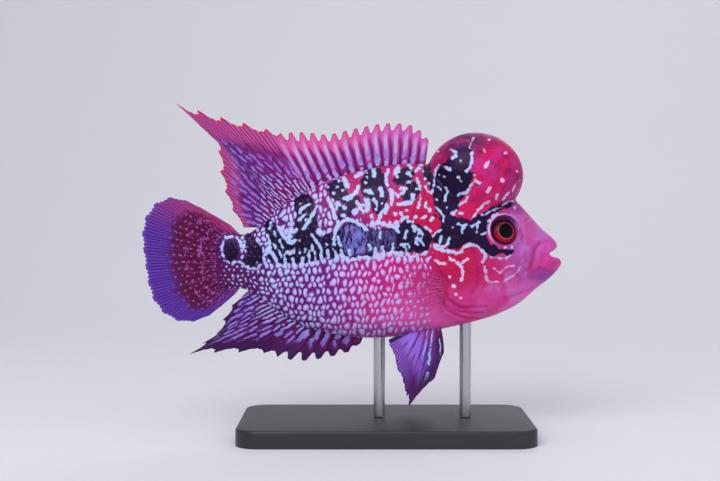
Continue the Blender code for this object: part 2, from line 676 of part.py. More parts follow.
def make_caudal_fin():
    back, belly = value_at(BACK_LINE, FIN_ROOT_X), value_at(BELLY_LINE, FIN_ROOT_X)
    root_x = FIN_ROOT_X - GAP
    front_x = FIN_ROOT_X + CAUDAL_OVERLAP
    root = [(front_x, value_at(BACK_LINE, front_x) + GAP), (root_x, back + GAP),
            (root_x, back - CAUDAL_CORNER), (root_x, (back + belly) / 2), (root_x, belly + CAUDAL_CORNER),
            (root_x, belly - GAP), (front_x, value_at(BELLY_LINE, front_x) - GAP)]
    shares = np.linspace(0.0, 1.0, CAUDAL_RAYS)
    rays = [(polyline_at(root, share), curve_at(CAUDAL_EDGE, share)) for share in shares]
    make_fin("caudal_fin", rays, "caudal_fin", CAUDAL_NOTCH, wave=CAUDAL_WAVE,
             wave_length=CAUDAL_WAVE_LENGTH)


def make_pelvic_fins():
    for side, word in ((1, "left"), (-1, "right")):
        root_z = PELVIC_ROOT[0][1]
        place = (Matrix.Translation((0.0, side * PELVIC_OUT, root_z))
                 @ Matrix.Rotation(math.radians(side * PELVIC_SPLAY), 4, "X")
                 @ Matrix.Translation((0.0, 0.0, -root_z)))
        shares = np.linspace(0.0, 1.0, len(PELVIC_TIPS))
        rays = [(curve_at(PELVIC_ROOT, share), np.array(tip)) for share, tip in zip(shares, PELVIC_TIPS)]
        fin = make_fin("pelvic_fin_" + word, rays, "pelvic_fin", PELVIC_NOTCH, bow=PELVIC_BOW, place=place)
        combine(fin, [loft_body("belly_room", GAP)], "DIFFERENCE")
        keep_largest(fin)


def make_pectoral_fins():
    for side, word in ((1, "left"), (-1, "right")):
        x, z = PECTORAL_PLACE
        flare = Matrix.Rotation(math.radians(-side * PECTORAL_FLARE), 4, "Z")
        place = Matrix.Translation((x, side * (side_y(x, z) - PECTORAL_SUNK), z)) @ flare
        half = PECTORAL_ROOT_HEIGHT / 2
        root = [(0.0, half), (PECTORAL_ROOT_BULGE, 0.0), (0.0, -half)]
        rays = rays_between(root, PECTORAL_EDGE, PECTORAL_RAYS)
        fin = make_fin("pectoral_fin_" + word, rays, "pectoral_fin", PECTORAL_NOTCH, rows=PECTORAL_ROWS,
                       wave=PECTORAL_WAVE * side, place=place)
        outline = smooth_outline(COVER_EDGE, COVER_OUTLINE_POINTS, GAP)
        cover_room = prism("cover_room", outline, *sorted((0.0, side * CUTTER_REACH)))
        combine(cover_room, [loft_body("cover_skin", COVER_RAISED + GAP)], "INTERSECT")
        combine(fin, [loft_body("side_room", GAP), cover_room], "DIFFERENCE")
        keep_largest(fin)


def make_stand():
    height = BASE_SIZE[2]
    bm = bmesh.new()
    bmesh.ops.create_cube(bm, size=1.0)
    bmesh.ops.scale(bm, vec=BASE_SIZE, verts=bm.verts[:])
    bmesh.ops.translate(bm, vec=(BASE_X, 0.0, height / 2), verts=bm.verts[:])
    uprights = [e for e in bm.edges if abs(e.verts[0].co.z - e.verts[1].co.z) > height / 2]
    bmesh.ops.bevel(bm, geom=uprights, offset=BASE_CORNER, segments=BASE_CORNER_STEPS, profile=0.5,
                    affect="EDGES")
    rim = [e for e in bm.edges if all(v.co.z > height - 0.01 for v in e.verts)]
    bmesh.ops.bevel(bm, geom=rim, offset=BASE_EDGE, segments=1, profile=0.5, affect="EDGES")
    add_object("stand_base", bm, "stand_base", smooth_angle=BASE_SMOOTH_ANGLE)
    for name, x in ROD_X.items():
        make_rod(name, x, height)


def make_rod(name, x, base_top):
    """A rod from the base to the belly, its end cut to the belly's slope."""
    low = base_top + GAP
    bm = bmesh.new()
    bmesh.ops.create_cone(bm, cap_ends=True, segments=ROD_SIDES, radius1=ROD_RADIUS, radius2=ROD_RADIUS,
                          depth=1.0)
    for vert in bm.verts:
        upper = vert.co.z > 0
        vert.co.x += x
        vert.co.z = value_at(BELLY_LINE, vert.co.x) - GAP if upper else low
    add_object(name, bm, "stand_rod")


clear_scene()
make_body()
make_hump()
for cover_side, cover_word in ((1, "left"), (-1, "right")):
    make_gill_cover("gill_cover_" + cover_word, cover_side)
make_eyes()
make_dorsal_fin()
make_anal_fin()
make_caudal_fin()
make_pelvic_fins()
make_pectoral_fins()
make_stand()
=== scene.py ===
import math

import bpy
import numpy as np
from mathutils import Matrix, Vector


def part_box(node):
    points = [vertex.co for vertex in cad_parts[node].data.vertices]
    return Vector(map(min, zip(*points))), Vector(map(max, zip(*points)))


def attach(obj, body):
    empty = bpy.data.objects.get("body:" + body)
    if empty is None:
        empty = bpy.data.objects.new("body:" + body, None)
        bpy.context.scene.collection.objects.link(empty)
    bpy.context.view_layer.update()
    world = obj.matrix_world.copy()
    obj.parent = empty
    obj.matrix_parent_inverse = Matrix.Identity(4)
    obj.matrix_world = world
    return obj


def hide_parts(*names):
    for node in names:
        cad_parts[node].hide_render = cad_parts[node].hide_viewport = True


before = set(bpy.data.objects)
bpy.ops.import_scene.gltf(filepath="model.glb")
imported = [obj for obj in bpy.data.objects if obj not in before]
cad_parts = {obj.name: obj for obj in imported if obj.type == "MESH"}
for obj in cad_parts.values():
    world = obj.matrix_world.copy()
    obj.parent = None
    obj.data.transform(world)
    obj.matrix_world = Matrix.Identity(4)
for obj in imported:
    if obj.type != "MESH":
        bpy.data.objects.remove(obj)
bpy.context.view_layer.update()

# A flowerhorn cichlid 110 mm long, on a plain display stand. It faces +X and its right side is at -Y.
# Shapes are worked out in millimetres and stored in metres.

mm = 0.001
farOff = 99.0   # a distance in mm or pixels that no place on the fish reaches

# The photograph's frame: where the camera aims, how far off it stands, and one pixel's size in mm
# at the fish's middle plane
photo = {"width": 720, "height": 481, "pixel": 0.262, "aimX": 2.36, "aimZ": 50.96, "distance": 340.5,
         "elevation": 2.0, "lens": 65.0, "sensor": 36.0}


# Small helpers for meshes

def selectOnly(piece):
    bpy.ops.object.select_all(action="DESELECT")
    piece.select_set(True)
    bpy.context.view_layer.objects.active = piece


def editAll(piece):
    selectOnly(piece)
    bpy.ops.object.mode_set(mode="EDIT")
    bpy.ops.mesh.select_all(action="SELECT")


def leaveEdit():
    bpy.ops.object.mode_set(mode="OBJECT")


def pointsOf(piece):
    flat = np.zeros(len(piece.data.vertices) * 3)
    piece.data.vertices.foreach_get("co", flat)
    return flat.reshape(-1, 3)


def setPoints(piece, points):
    piece.data.vertices.foreach_set("co", np.ascontiguousarray(points, dtype=np.float32).ravel())
    piece.data.update()


def normalsOf(piece):
    flat = np.zeros(len(piece.data.vertices) * 3, dtype=np.float32)
    piece.data.vertex_normals.foreach_get("vector", flat)
    return flat.reshape(-1, 3).astype(float)


def setAttribute(piece, name, values):
    layer = piece.data.attributes.new(name, "FLOAT", "POINT")
    layer.data.foreach_set("value", np.asarray(values, dtype=np.float32))


def setColours(piece, name, colours):
    layer = piece.data.attributes.new(name, "FLOAT_COLOR", "POINT")
    rgba = np.column_stack([colours, np.ones(len(colours))])
    layer.data.foreach_set("color", rgba.astype(np.float32).ravel())


def setUv(piece, name, u, v):
    mesh = piece.data
    layer = mesh.uv_layers.get(name) or mesh.uv_layers.new(name=name)
    corner = np.zeros(len(mesh.loops), dtype=np.int32)
    mesh.loops.foreach_get("vertex_index", corner)
    layer.uv.foreach_set("vector", np.column_stack([u[corner], v[corner]]).astype(np.float32).ravel())


def applyModifier(piece, kind, **settings):
    selectOnly(piece)
    modifier = piece.modifiers.new("shape", kind)
    for key, value in settings.items():
        setattr(modifier, key, value)
    bpy.ops.object.modifier_apply(modifier=modifier.name)


def shapedGrid(name, across, along, shape):
    # a flat grid whose points, as shares from 0 to 1, are moved to where shape(u, v) puts them, in mm
    bpy.ops.object.select_all(action="DESELECT")
    bpy.ops.mesh.primitive_grid_add(x_subdivisions=across, y_subdivisions=along, size=1.0)
    piece = bpy.context.object
    piece.name = name
    share = pointsOf(piece) + 0.5
    setPoints(piece, shape(share[:, 0], share[:, 1]) * mm)
    return piece


def closeTube(piece):
    # joins a rolled grid along its seam and caps its two ends
    editAll(piece)
    bpy.ops.mesh.remove_doubles(threshold=0.000002)
    bpy.ops.mesh.select_all(action="DESELECT")
    bpy.ops.mesh.select_non_manifold()
    bpy.ops.mesh.fill_holes(sides=0)
    bpy.ops.mesh.select_all(action="SELECT")
    bpy.ops.mesh.normals_make_consistent(inside=False)
    leaveEdit()


def joinPieces(first, others):
    selectOnly(first)
    for other in others:
        other.select_set(True)
    bpy.ops.object.join()


# Small helpers for curves

def hermite(start, end, startSlope, endSlope, span, t):
    return ((2 * t ** 3 - 3 * t ** 2 + 1) * start + (t ** 3 - 2 * t ** 2 + t) * span * startSlope
            + (3 * t ** 2 - 2 * t ** 3) * end + (t ** 3 - t ** 2) * span * endSlope)


def profileAt(profile, x):
    xs, values = np.array(profile, dtype=float).T
    slopes = np.gradient(values, xs)
    x = np.clip(x, xs[0], xs[-1])
    i = np.clip(np.searchsorted(xs, x, side="right") - 1, 0, len(xs) - 2)
    span = xs[i + 1] - xs[i]
    return hermite(values[i], values[i + 1], slopes[i], slopes[i + 1], span, (x - xs[i]) / span)


def curveAt(points, share):
    # a smooth curve through the points, at shares of its length
    pts = np.array(points, dtype=float)
    steps = np.linalg.norm(np.diff(pts, axis=0), axis=1)
    knots = np.concatenate([[0.0], np.cumsum(steps)])
    place = np.clip(np.atleast_1d(share), 0.0, 1.0) * knots[-1]
    i = np.clip(np.searchsorted(knots, place, side="right") - 1, 0, len(pts) - 2)
    slopes = np.gradient(pts, knots, axis=0)
    t = ((place - knots[i]) / steps[i])[:, None]
    return hermite(pts[i], pts[i + 1], slopes[i], slopes[i + 1], steps[i][:, None], t)


def smoothStep(low, high, value):
    t = np.clip((value - low) / (high - low), 0.0, 1.0)
    return t * t * (3 - 2 * t)


def ridge(away, wide):
    # 1 on a line and falling off to both sides
    return np.exp(-(away / wide) ** 2)


def segmentDistance(a, b, x, y):
    along = np.array(b, dtype=float) - a
    t = np.clip(((x - a[0]) * along[0] + (y - a[1]) * along[1]) / max(along @ along, 1e-9), 0.0, 1.0)
    return np.hypot(x - a[0] - t * along[0], y - a[1] - t * along[1]), t


def lineDistance(points, x, y):
    best = np.full(len(x), 1e9)
    for a, b in zip(points, points[1:]):
        best = np.minimum(best, segmentDistance(a, b, x, y)[0])
    return best


def outlineDistance(points, x, y):
    # distance to a closed outline, less than zero inside it
    inside = np.zeros(len(x), dtype=bool)
    for (ax, ay), (bx, by) in zip(points, points[1:] + points[:1]):
        crosses = (ay > y) != (by > y)
        rise = by - ay if abs(by - ay) > 1e-9 else 1e-9
        inside ^= crosses & (x < (bx - ax) * (y - ay) / rise + ax)
    away = lineDistance(points + points[:1], x, y)
    return np.where(inside, -away, away)


def photoPlace(points):
    # where a skin point shows in the photograph's frame, with the far side folded onto the near side
    near = photo["distance"] / (photo["distance"] - np.abs(points[:, 1]))
    px = photo["width"] / 2 + (points[:, 0] - photo["aimX"]) * near / photo["pixel"]
    py = photo["height"] / 2 - (points[:, 2] - photo["aimZ"]) * near / photo["pixel"]
    return px, py


# Small helpers for materials

def linear(red, green, blue):
    # a colour as seen on screen, 0 to 255, as the linear colour that a shader takes
    shares = [channel / 255 for channel in (red, green, blue)]
    return tuple(s / 12.92 if s <= 0.04045 else ((s + 0.055) / 1.055) ** 2.4 for s in shares) + (1.0,)


def connect(tree, value, socket):
    if isinstance(value, bpy.types.NodeSocket):
        tree.links.new(value, socket)
    else:
        socket.default_value = value


def addNode(tree, kind, inputs=None, **settings):
    made = tree.nodes.new(kind)
    for key, value in settings.items():
        setattr(made, key, value)
    for key, value in (inputs or {}).items():
        connect(tree, value, made.inputs[key])
    return made


def calc(tree, operation, *values):
    made = addNode(tree, "ShaderNodeMath", operation=operation)
    for socket, value in zip(made.inputs, values):
        connect(tree, value, socket)
    return made.outputs[0]


def ease(tree, value, low, high):
    # 0 at low and 1 at high, smooth in between; low may be the larger one
    made = addNode(tree, "ShaderNodeMapRange", {"Value": value, "From Min": low, "From Max": high},
                   interpolation_type="SMOOTHSTEP")
    return made.outputs["Result"]


def blendColour(tree, share, first, second, mode="MIX"):
    made = addNode(tree, "ShaderNodeMix", data_type="RGBA", blend_type=mode)
    connect(tree, share, made.inputs[0])
    connect(tree, first, made.inputs[6])
    connect(tree, second, made.inputs[7])
    return made.outputs[2]


def noise(tree, vector, scale, detail=2.0, output="Fac"):
    made = addNode(tree, "ShaderNodeTexNoise", {"Vector": vector, "Scale": scale, "Detail": detail})
    return made.outputs[output]


def times(tree, first, *others):
    for other in others:
        first = calc(tree, "MULTIPLY", first, other)
    return first


def blendValue(tree, share, first, second):
    # first where the share is 0 and second where it is 1
    return calc(tree, "MULTIPLY_ADD", calc(tree, "SUBTRACT", second, first), share, first)


def shaken(tree, value, texture, amount):
    # the value, moved down or up by up to half the amount by a texture that runs from 0 to 1
    return calc(tree, "MULTIPLY_ADD", texture, amount, calc(tree, "SUBTRACT", value, amount / 2))


def patches(tree, place, scale, detail, low, high):
    # soft patches of noise: 0 up to the low value and 1 from the high one
    return ease(tree, noise(tree, place, scale, detail), low, high)


def cells(tree, x, y, randomness):
    # scattered middles: how far off the nearest one lies in x and in y, and a tone of its own
    place = addNode(tree, "ShaderNodeCombineXYZ", {"X": x, "Y": y}).outputs[0]
    cell = addNode(tree, "ShaderNodeTexVoronoi", {"Vector": place, "Scale": 1.0, "Randomness": randomness},
                   voronoi_dimensions="2D")
    off = addNode(tree, "ShaderNodeVectorMath", {0: place, 1: cell.outputs["Position"]}, operation="SUBTRACT")
    away = addNode(tree, "ShaderNodeSeparateXYZ", {0: off.outputs[0]}).outputs
    tone = addNode(tree, "ShaderNodeSeparateColor", {0: cell.outputs["Color"]}).outputs[0]
    return away["X"], away["Y"], tone


def attribute(tree, name, output="Fac"):
    return addNode(tree, "ShaderNodeAttribute", attribute_name=name).outputs[output]


def newMaterial(name, **shaderValues):
    material = bpy.data.materials.new(name)
    material.use_nodes = True
    tree = material.node_tree
    shader = tree.nodes["Principled BSDF"]
    for key, value in shaderValues.items():
        shader.inputs[key].default_value = value
    return material, tree, shader


def newGroup(name, inputs, outputs):
    group = bpy.data.node_groups.new(name, "ShaderNodeTree")
    for label, kind in inputs.items():
        group.interface.new_socket(name=label, in_out="INPUT", socket_type="NodeSocket" + kind)
    for label, kind in outputs.items():
        group.interface.new_socket(name=label, in_out="OUTPUT", socket_type="NodeSocket" + kind)
    return group, group.nodes.new("NodeGroupInput").outputs, group.nodes.new("NodeGroupOutput").inputs


def useGroup(tree, group, inputs):
    made = tree.nodes.new("ShaderNodeGroup")
    made.node_tree = group
    for key, value in inputs.items():
        connect(tree, value, made.inputs[key])
    return made.outputs


def bump(tree, height, strength, distance):
    made = addNode(tree, "ShaderNodeBump", {"Height": height, "Strength": strength, "Distance": distance})
    return made.outputs["Normal"]


def dress(piece, material, slot, *nodes):
    piece.data.materials.clear()
    piece.data.materials.append(material)
    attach(piece, "root")
    if nodes:
        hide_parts(*nodes)


# Camera, lights and floor

studio = {"floorColour": (232, 232, 238), "floorShade": 0.96, "floorWidth": 3.0, "floorSize": 1.6,
          "floorStart": -1.0, "floorNoise": (3.0, 3.0), "floorRoughness": 0.7, "rise": 0.9, "bend": 0.35,
          "world": 0.33, "worldTint": (0.93, 0.93, 1.0), "aimHeight": 0.05, "nearest": 0.01}
studioLights = {
    "keyLight": {"place": (-0.25, -0.55, 0.55), "size": 0.45, "power": 3.4, "tint": (1.0, 0.98, 0.99)},
    "fillLight": {"place": (0.50, -0.50, 0.13), "size": 1.1, "power": 2.0, "tint": (0.97, 0.96, 1.0)},
    "rimLight": {"place": (0.2, 0.6, 0.4), "size": 0.4, "power": 0.9, "tint": (0.96, 0.96, 1.0)},
    "topLight": {"place": (0.0, -0.05, 0.7), "size": 0.5, "power": 1.0, "tint": (1.0, 1.0, 1.0)},
}


def makeCamera():
    camera = bpy.data.objects.new("camera", bpy.data.cameras.new("camera"))
    bpy.context.scene.collection.objects.link(camera)
    camera.data.lens = photo["lens"]
    camera.data.sensor_width = photo["sensor"]
    tilt = math.radians(photo["elevation"])
    aim = Vector((photo["aimX"], 0.0, photo["aimZ"])) * mm
    back = Vector((0.0, -math.cos(tilt), math.sin(tilt)))
    camera.location = aim + back * photo["distance"] * mm
    camera.rotation_euler = (-back).to_track_quat("-Z", "Y").to_euler()
    camera.data.clip_start = studio["nearest"]
    bpy.context.scene.camera = camera


def addLight(name, place, size, power, tint):
    light = bpy.data.objects.new(name, bpy.data.lights.new(name, "AREA"))
    bpy.context.scene.collection.objects.link(light)
    light.data.size = size
    light.data.energy = power
    light.data.color = tint
    light.location = place
    aim = Vector((0.0, 0.0, studio["aimHeight"]))
    light.rotation_euler = (aim - Vector(place)).to_track_quat("-Z", "Y").to_euler()


def makeStudio():
    for name, values in studioLights.items():
        addLight(name, **values)
    world = bpy.data.worlds.new("studio")
    bpy.context.scene.world = world
    world.use_nodes = True
    background = world.node_tree.nodes["Background"]
    background.inputs["Color"].default_value = studio["worldTint"] + (1.0,)
    background.inputs["Strength"].default_value = studio["world"]
    bpy.context.scene.view_settings.view_transform = "Standard"

    size, bend, rise = studio["floorSize"], studio["bend"], studio["rise"]

    def sweep(u, v):
        # flat floor, then a quarter round, then a wall
        flat = size - bend
        arc = bend * math.pi / 2
        run = v * (flat + arc + rise)
        turn = np.clip((run - flat) / bend, 0.0, math.pi / 2)
        depth = np.minimum(run, flat) + bend * np.sin(turn)
        height = bend * (1 - np.cos(turn)) + np.maximum(run - flat - arc, 0.0)
        return np.column_stack([(u - 0.5) * studio["floorWidth"], depth + studio["floorStart"], height]) / mm

    floor = shapedGrid("floor", 4, 48, sweep)
    bpy.ops.object.shade_smooth()
    material, tree, shader = newMaterial("paleFloor", Roughness=studio["floorRoughness"])
    place = addNode(tree, "ShaderNodeTexCoord").outputs["Object"]
    tone = noise(tree, place, *studio["floorNoise"])
    pale = linear(*studio["floorColour"])
    darker = tuple(channel * studio["floorShade"] for channel in pale[:3]) + (1.0,)
    connect(tree, blendColour(tree, tone, pale, darker), shader.inputs["Base Color"])
    floor.data.materials.append(material)


# Body and head: the same lines as the solids, so that the skin lies on them

body = {
    "back": [(-32.5, 52.7), (-26.5, 53.1), (-22.5, 55.8), (-16.8, 61.0), (-9.4, 65.2), (-2.1, 68.0),
             (5.2, 69.8), (12.6, 71.0), (20.0, 70.8), (27.0, 68.6), (35.0, 65.2), (43.5, 61.0),
             (47.0, 57.2), (50.3, 53.7), (52.2, 52.1), (53.6, 50.6), (54.5, 48.4), (55.0, 45.9)],
    "belly": [(-32.5, 38.4), (-27.8, 38.2), (-19.9, 33.0), (-13.4, 28.9), (-5.5, 26.6), (4.0, 25.5),
              (11.3, 25.8), (22.3, 27.6), (31.0, 29.5), (37.8, 31.5), (44.0, 34.6), (48.7, 38.6),
              (52.0, 41.2), (53.8, 43.0), (55.0, 44.6)],
    "halfWidth": [(-35.5, 0.5), (-32.5, 1.5), (-28.0, 2.5), (-22.0, 3.9), (-14.0, 6.1), (-5.0, 8.3),
                  (5.0, 9.9), (15.0, 10.7), (24.0, 10.9), (31.0, 10.3), (37.0, 9.2), (43.0, 7.4),
                  (48.0, 5.6), (51.5, 4.4), (53.5, 3.3), (55.0, 1.6)],
    "widest": [(-32.5, 0.50), (5.0, 0.47), (24.0, 0.40), (40.0, 0.42), (55.0, 0.46)],
    "backFlatness": [(-32.5, 1.0), (5.0, 0.86), (24.0, 0.90), (42.0, 1.02), (55.0, 0.80)],
    "bellyFlatness": [(-32.5, 1.0), (-5.0, 0.95), (20.0, 0.78), (38.0, 0.84), (55.0, 0.80)],
    "tailEnd": -35.5, "jawTip": 55.0,
    "humpCentre": (32.4, 0.0, 68.0), "humpRadii": (12.6, 9.7, 11.4),
    "mouth": [(50.7, 47.5), (51.6, 48.3), (53.3, 49.5), (57.0, 51.8), (57.0, 44.6), (54.6, 45.7),
              (52.6, 46.8)],
    "humpFurrow": {"depth": 0.35, "wide": 1.6, "above": (0.0, 0.8)},
}
skinMesh = {"along": 150, "around": 96, "lipAlong": 48, "lipAround": 16, "humpAround": 64, "humpRings": 40,
            "voxel": 0.343, "smoothing": 0.5, "rounds": 5, "mouthRounds": 8, "mouthFrom": (49.5, 52.0),
            "cutterReach": 30.0}
upperLip = {"corner": (50.6, 4.1, 48.0), "tip": (52.9, 49.7), "radius": 1.05}
lowerLip = {"corner": (50.7, 4.3, 46.4), "tip": (53.7, 45.3), "radius": 1.30}
lipForm = {"bluntness": 0.8, "cornerThickness": 0.55, "turn": 0.998}
eye = {"centre": (39.5, 53.6), "radius": 3.75, "depth": 2.9, "standsOut": 1.0, "socket": 3.65,
       "socketDepth": 1.5, "wall": (0.15, -0.9), "rim": 4.25, "rimHeight": 0.55, "rimWide": 0.42,
       "reach": 6.0, "browLean": 0.7, "browFrom": (-0.5, 0.6), "around": 64, "rings": 48, "behind": 9.0,
       "least": 0.5}


def section(x):
    top = profileAt(body["back"], x)
    bottom = profileAt(body["belly"], x)
    widest = bottom + (top - bottom) * profileAt(body["widest"], x)
    return (top, bottom, widest, profileAt(body["halfWidth"], x),
            profileAt(body["backFlatness"], x), profileAt(body["bellyFlatness"], x))


def sideY(x, z):
    top, bottom, widest, half, backPower, bellyPower = section(x)
    reach = np.where(z > widest, top - widest, widest - bottom)
    level = np.clip(np.abs(z - widest) / reach, 0.0, 1.0)
    return half * np.sqrt(1.0 - level * level) ** np.where(z > widest, backPower, bellyPower)


def skinFrame(x, z, side):
    # a matrix on the skin whose Z axis points straight out of the body
    step = 0.5
    alongSlope = float(sideY(x + step, z) - sideY(x - step, z)) / (2 * step)
    upSlope = float(sideY(x, z + step) - sideY(x, z - step)) / (2 * step)
    out = Vector((-alongSlope, side, -upSlope)).normalized()
    forward = Vector((1.0, 0.0, 0.0))
    forward = (forward - out * forward.dot(out)).normalized()
    place = Matrix((forward, out.cross(forward), out)).transposed().to_4x4()
    place.translation = Vector((x, side * float(sideY(x, z)), z))
    return place


def bodyShape(u, v):
    x = body["tailEnd"] + (body["jawTip"] - body["tailEnd"]) * u
    top, bottom, widest, half, backPower, bellyPower = section(x)
    angle = 2 * math.pi * v
    across, up = np.sin(angle), np.cos(angle)
    power = np.where(up > 0, backPower, bellyPower)
    reach = np.where(up > 0, top - widest, widest - bottom)
    return np.column_stack([x, half * np.sign(across) * np.abs(across) ** power, widest + reach * up])


def lipShape(sizes):
    cornerX, cornerY, cornerZ = sizes["corner"]
    tipX, tipZ = sizes["tip"]

    def shape(u, v):
        turn = math.pi * (u - 0.5) * lipForm["turn"]
        forward = np.cos(turn) ** lipForm["bluntness"]
        ahead = np.column_stack([-np.sin(turn) * (tipX - cornerX), cornerY * np.cos(turn) + 0.01])
        ahead /= np.linalg.norm(ahead, axis=1)[:, None]
        thin = lipForm["cornerThickness"]
        radius = sizes["radius"] * (thin + (1.0 - thin) * forward)
        outwards = radius * np.cos(2 * math.pi * v)
        return np.column_stack([cornerX + (tipX - cornerX) * forward + ahead[:, 1] * outwards,
                                cornerY * np.sin(turn) - ahead[:, 0] * outwards,
                                cornerZ + (tipZ - cornerZ) * forward + radius * np.sin(2 * math.pi * v)])
    return shape


def makeMouthCutter():
    outline = body["mouth"]
    bpy.ops.object.select_all(action="DESELECT")
    bpy.ops.mesh.primitive_circle_add(vertices=len(outline), radius=1.0, fill_type="NGON")
    cutter = bpy.context.object
    reach = skinMesh["cutterReach"]
    setPoints(cutter, np.array([(x, -reach, z) for x, z in outline]) * mm)
    editAll(cutter)
    bpy.ops.mesh.extrude_region_move(TRANSFORM_OT_translate={"value": (0.0, 2 * reach * mm, 0.0)})
    bpy.ops.mesh.select_all(action="SELECT")
    bpy.ops.mesh.normals_make_consistent(inside=False)
    leaveEdit()
    return cutter


def makeSkinForm():
    skin = shapedGrid("fishSkin", skinMesh["along"], skinMesh["around"], bodyShape)
    closeTube(skin)
    cutter = makeMouthCutter()
    applyModifier(skin, "BOOLEAN", operation="DIFFERENCE", object=cutter)
    bpy.data.objects.remove(cutter)
    added = []
    for sizes in (upperLip, lowerLip):
        added.append(shapedGrid("lip", skinMesh["lipAlong"], skinMesh["lipAround"], lipShape(sizes)))
        closeTube(added[-1])
    bpy.ops.object.select_all(action="DESELECT")
    bpy.ops.mesh.primitive_uv_sphere_add(segments=skinMesh["humpAround"], ring_count=skinMesh["humpRings"],
                                         radius=1.0)
    hump = bpy.context.object
    setPoints(hump, humpShape(pointsOf(hump)) * mm)
    added.append(hump)
    joinPieces(skin, added)
    applyModifier(skin, "REMESH", mode="VOXEL", voxel_size=skinMesh["voxel"] * mm)
    applyModifier(skin, "SMOOTH", factor=skinMesh["smoothing"], iterations=skinMesh["rounds"])
    mouth = skin.vertex_groups.new(name="mouth")
    nearMouth = smoothStep(*skinMesh["mouthFrom"], pointsOf(skin)[:, 0] / mm)
    for index in np.flatnonzero(nearMouth > 0.0):
        mouth.add([int(index)], float(nearMouth[index]), "REPLACE")
    applyModifier(skin, "SMOOTH", factor=skinMesh["smoothing"], iterations=skinMesh["mouthRounds"],
                  vertex_group="mouth")
    return skin


def humpShape(unit):
    # an egg with a low furrow along its middle
    centre, radii = body["humpCentre"], body["humpRadii"]
    points = unit * radii + centre
    sizes = body["humpFurrow"]
    furrow = sizes["depth"] * ridge(points[:, 1], sizes["wide"]) * smoothStep(*sizes["above"], unit[:, 2])
    return points - unit * furrow[:, None]


# Folds of the head, read off the photograph in its pixels, with a depth and a half width in mm
faceFolds = [
    {"line": [(540.2, 242.5), (536.6, 247.0), (534.6, 253.0), (533.6, 260.0), (531.5, 266.5)],
     "depth": 0.30, "wide": 0.60},
    {"line": [(526.0, 269.8), (532.0, 270.8), (538.0, 269.6)], "depth": 0.18, "wide": 0.55},
    {"line": [(544.0, 257.0), (541.5, 262.0), (538.5, 267.0)], "depth": 0.13, "wide": 0.60},
    {"line": [(540.5, 268.0), (547.0, 271.0), (553.5, 271.0), (558.5, 268.6)], "depth": 0.21, "wide": 0.45},
    {"line": [(541.0, 243.4), (546.0, 241.6), (551.0, 240.2)], "depth": 0.16, "wide": 0.34},
    {"line": [(504.5, 298.8), (522.3, 292.5), (531.3, 288.9), (537.9, 284.9)], "depth": 0.22, "wide": 0.50},
    {"line": [(521.0, 266.0), (519.5, 270.0), (517.0, 276.0)], "depth": 0.16, "wide": 0.40},
    {"line": [(474.0, 246.0), (477.5, 258.0), (480.0, 270.0), (479.0, 282.0), (472.0, 293.0)],
     "depth": 0.22, "wide": 0.55},
    {"line": [(437.6, 288.0), (441.8, 299.0), (447.4, 309.5), (456.4, 314.4), (464.2, 318.0), (477.6, 318.6)],
     "depth": 0.30, "wide": 0.35},
    {"line": [(444.0, 303.0), (452.0, 308.5), (461.0, 311.5), (472.0, 313.0), (482.0, 312.0)],
     "depth": 0.16, "wide": 0.30},
    {"line": [(449.0, 299.0), (457.0, 303.5), (466.0, 306.0), (476.0, 307.0), (486.0, 306.0)],
     "depth": 0.14, "wide": 0.30},
    {"line": [(494.0, 208.0), (503.0, 203.5), (513.0, 201.5), (522.0, 203.0)], "depth": 0.22, "wide": 0.55},
    {"line": [(501.0, 163.0), (499.0, 174.0), (496.5, 186.0)], "depth": 0.18, "wide": 0.70},
]
gillCover = {
    "edge": [(20.8, 46.5), (22.0, 50.3), (25.8, 52.3), (30.2, 51.2), (32.7, 46.6), (32.7, 39.8), (31.2, 34.7),
             (27.7, 34.4), (24.9, 37.2), (24.7, 41.3), (22.7, 43.8)],
    "raised": 0.45, "slope": 0.5, "groove": 0.22, "grooveAt": 0.45, "grooveWide": 0.35, "creaseAt": 0.3,
    "creaseWide": 0.4, "endsAt": (33.5, 29.0), "steps": 60,
}
foldForm = {"depth": 1.5, "shoulder": 0.6, "shoulderAt": 2.2, "creaseWide": 0.8, "fullDepth": 0.3,
            "flankFrom": (1.5, 4.0)}
nostril = {"centre": (45.6, 56.3), "radius": 0.55, "depth": 0.7, "wall": (1.1, 0.3), "lip": 0.14,
           "lipAt": 1.5, "lipWide": 0.3,
           "holes": ((0.0, 0.0, 1.0), (-2.6, 0.6, 0.6))}   # each hole's shift in x and z, and its size
scales = {"pitch": 1.52, "rowPitch": 2.05, "depthAtMiddle": 44.0, "rowShrink": 0.45, "relief": 0.10,
          "leastDepth": 8.0, "lean": 0.012, "headEdge": (34.0, 27.0), "tailEdge": (-34.5, -30.0),
          "highest": 69.5, "middleAt": ([-32.5, 0.0, 30.0], [0.50, 0.53, 0.53]), "overBack": 0.9,
          "edgeAt": 0.30, "edgeCurve": 1.1, "edgeBlur": (-0.10, 0.10), "slope": (1.05, 0.3), "level": 0.3}


def eyeDistance(points, side):
    # distance from the eye's sight line, for the points on that side
    place = skinFrame(*eye["centre"], side)
    local = (points - np.array(place.translation)) @ np.array(place.to_3x3())
    away = np.hypot(local[:, 0], local[:, 1])
    return np.where((points[:, 1] * side > 0) & (np.abs(local[:, 2]) < eye["reach"]), away, farOff)


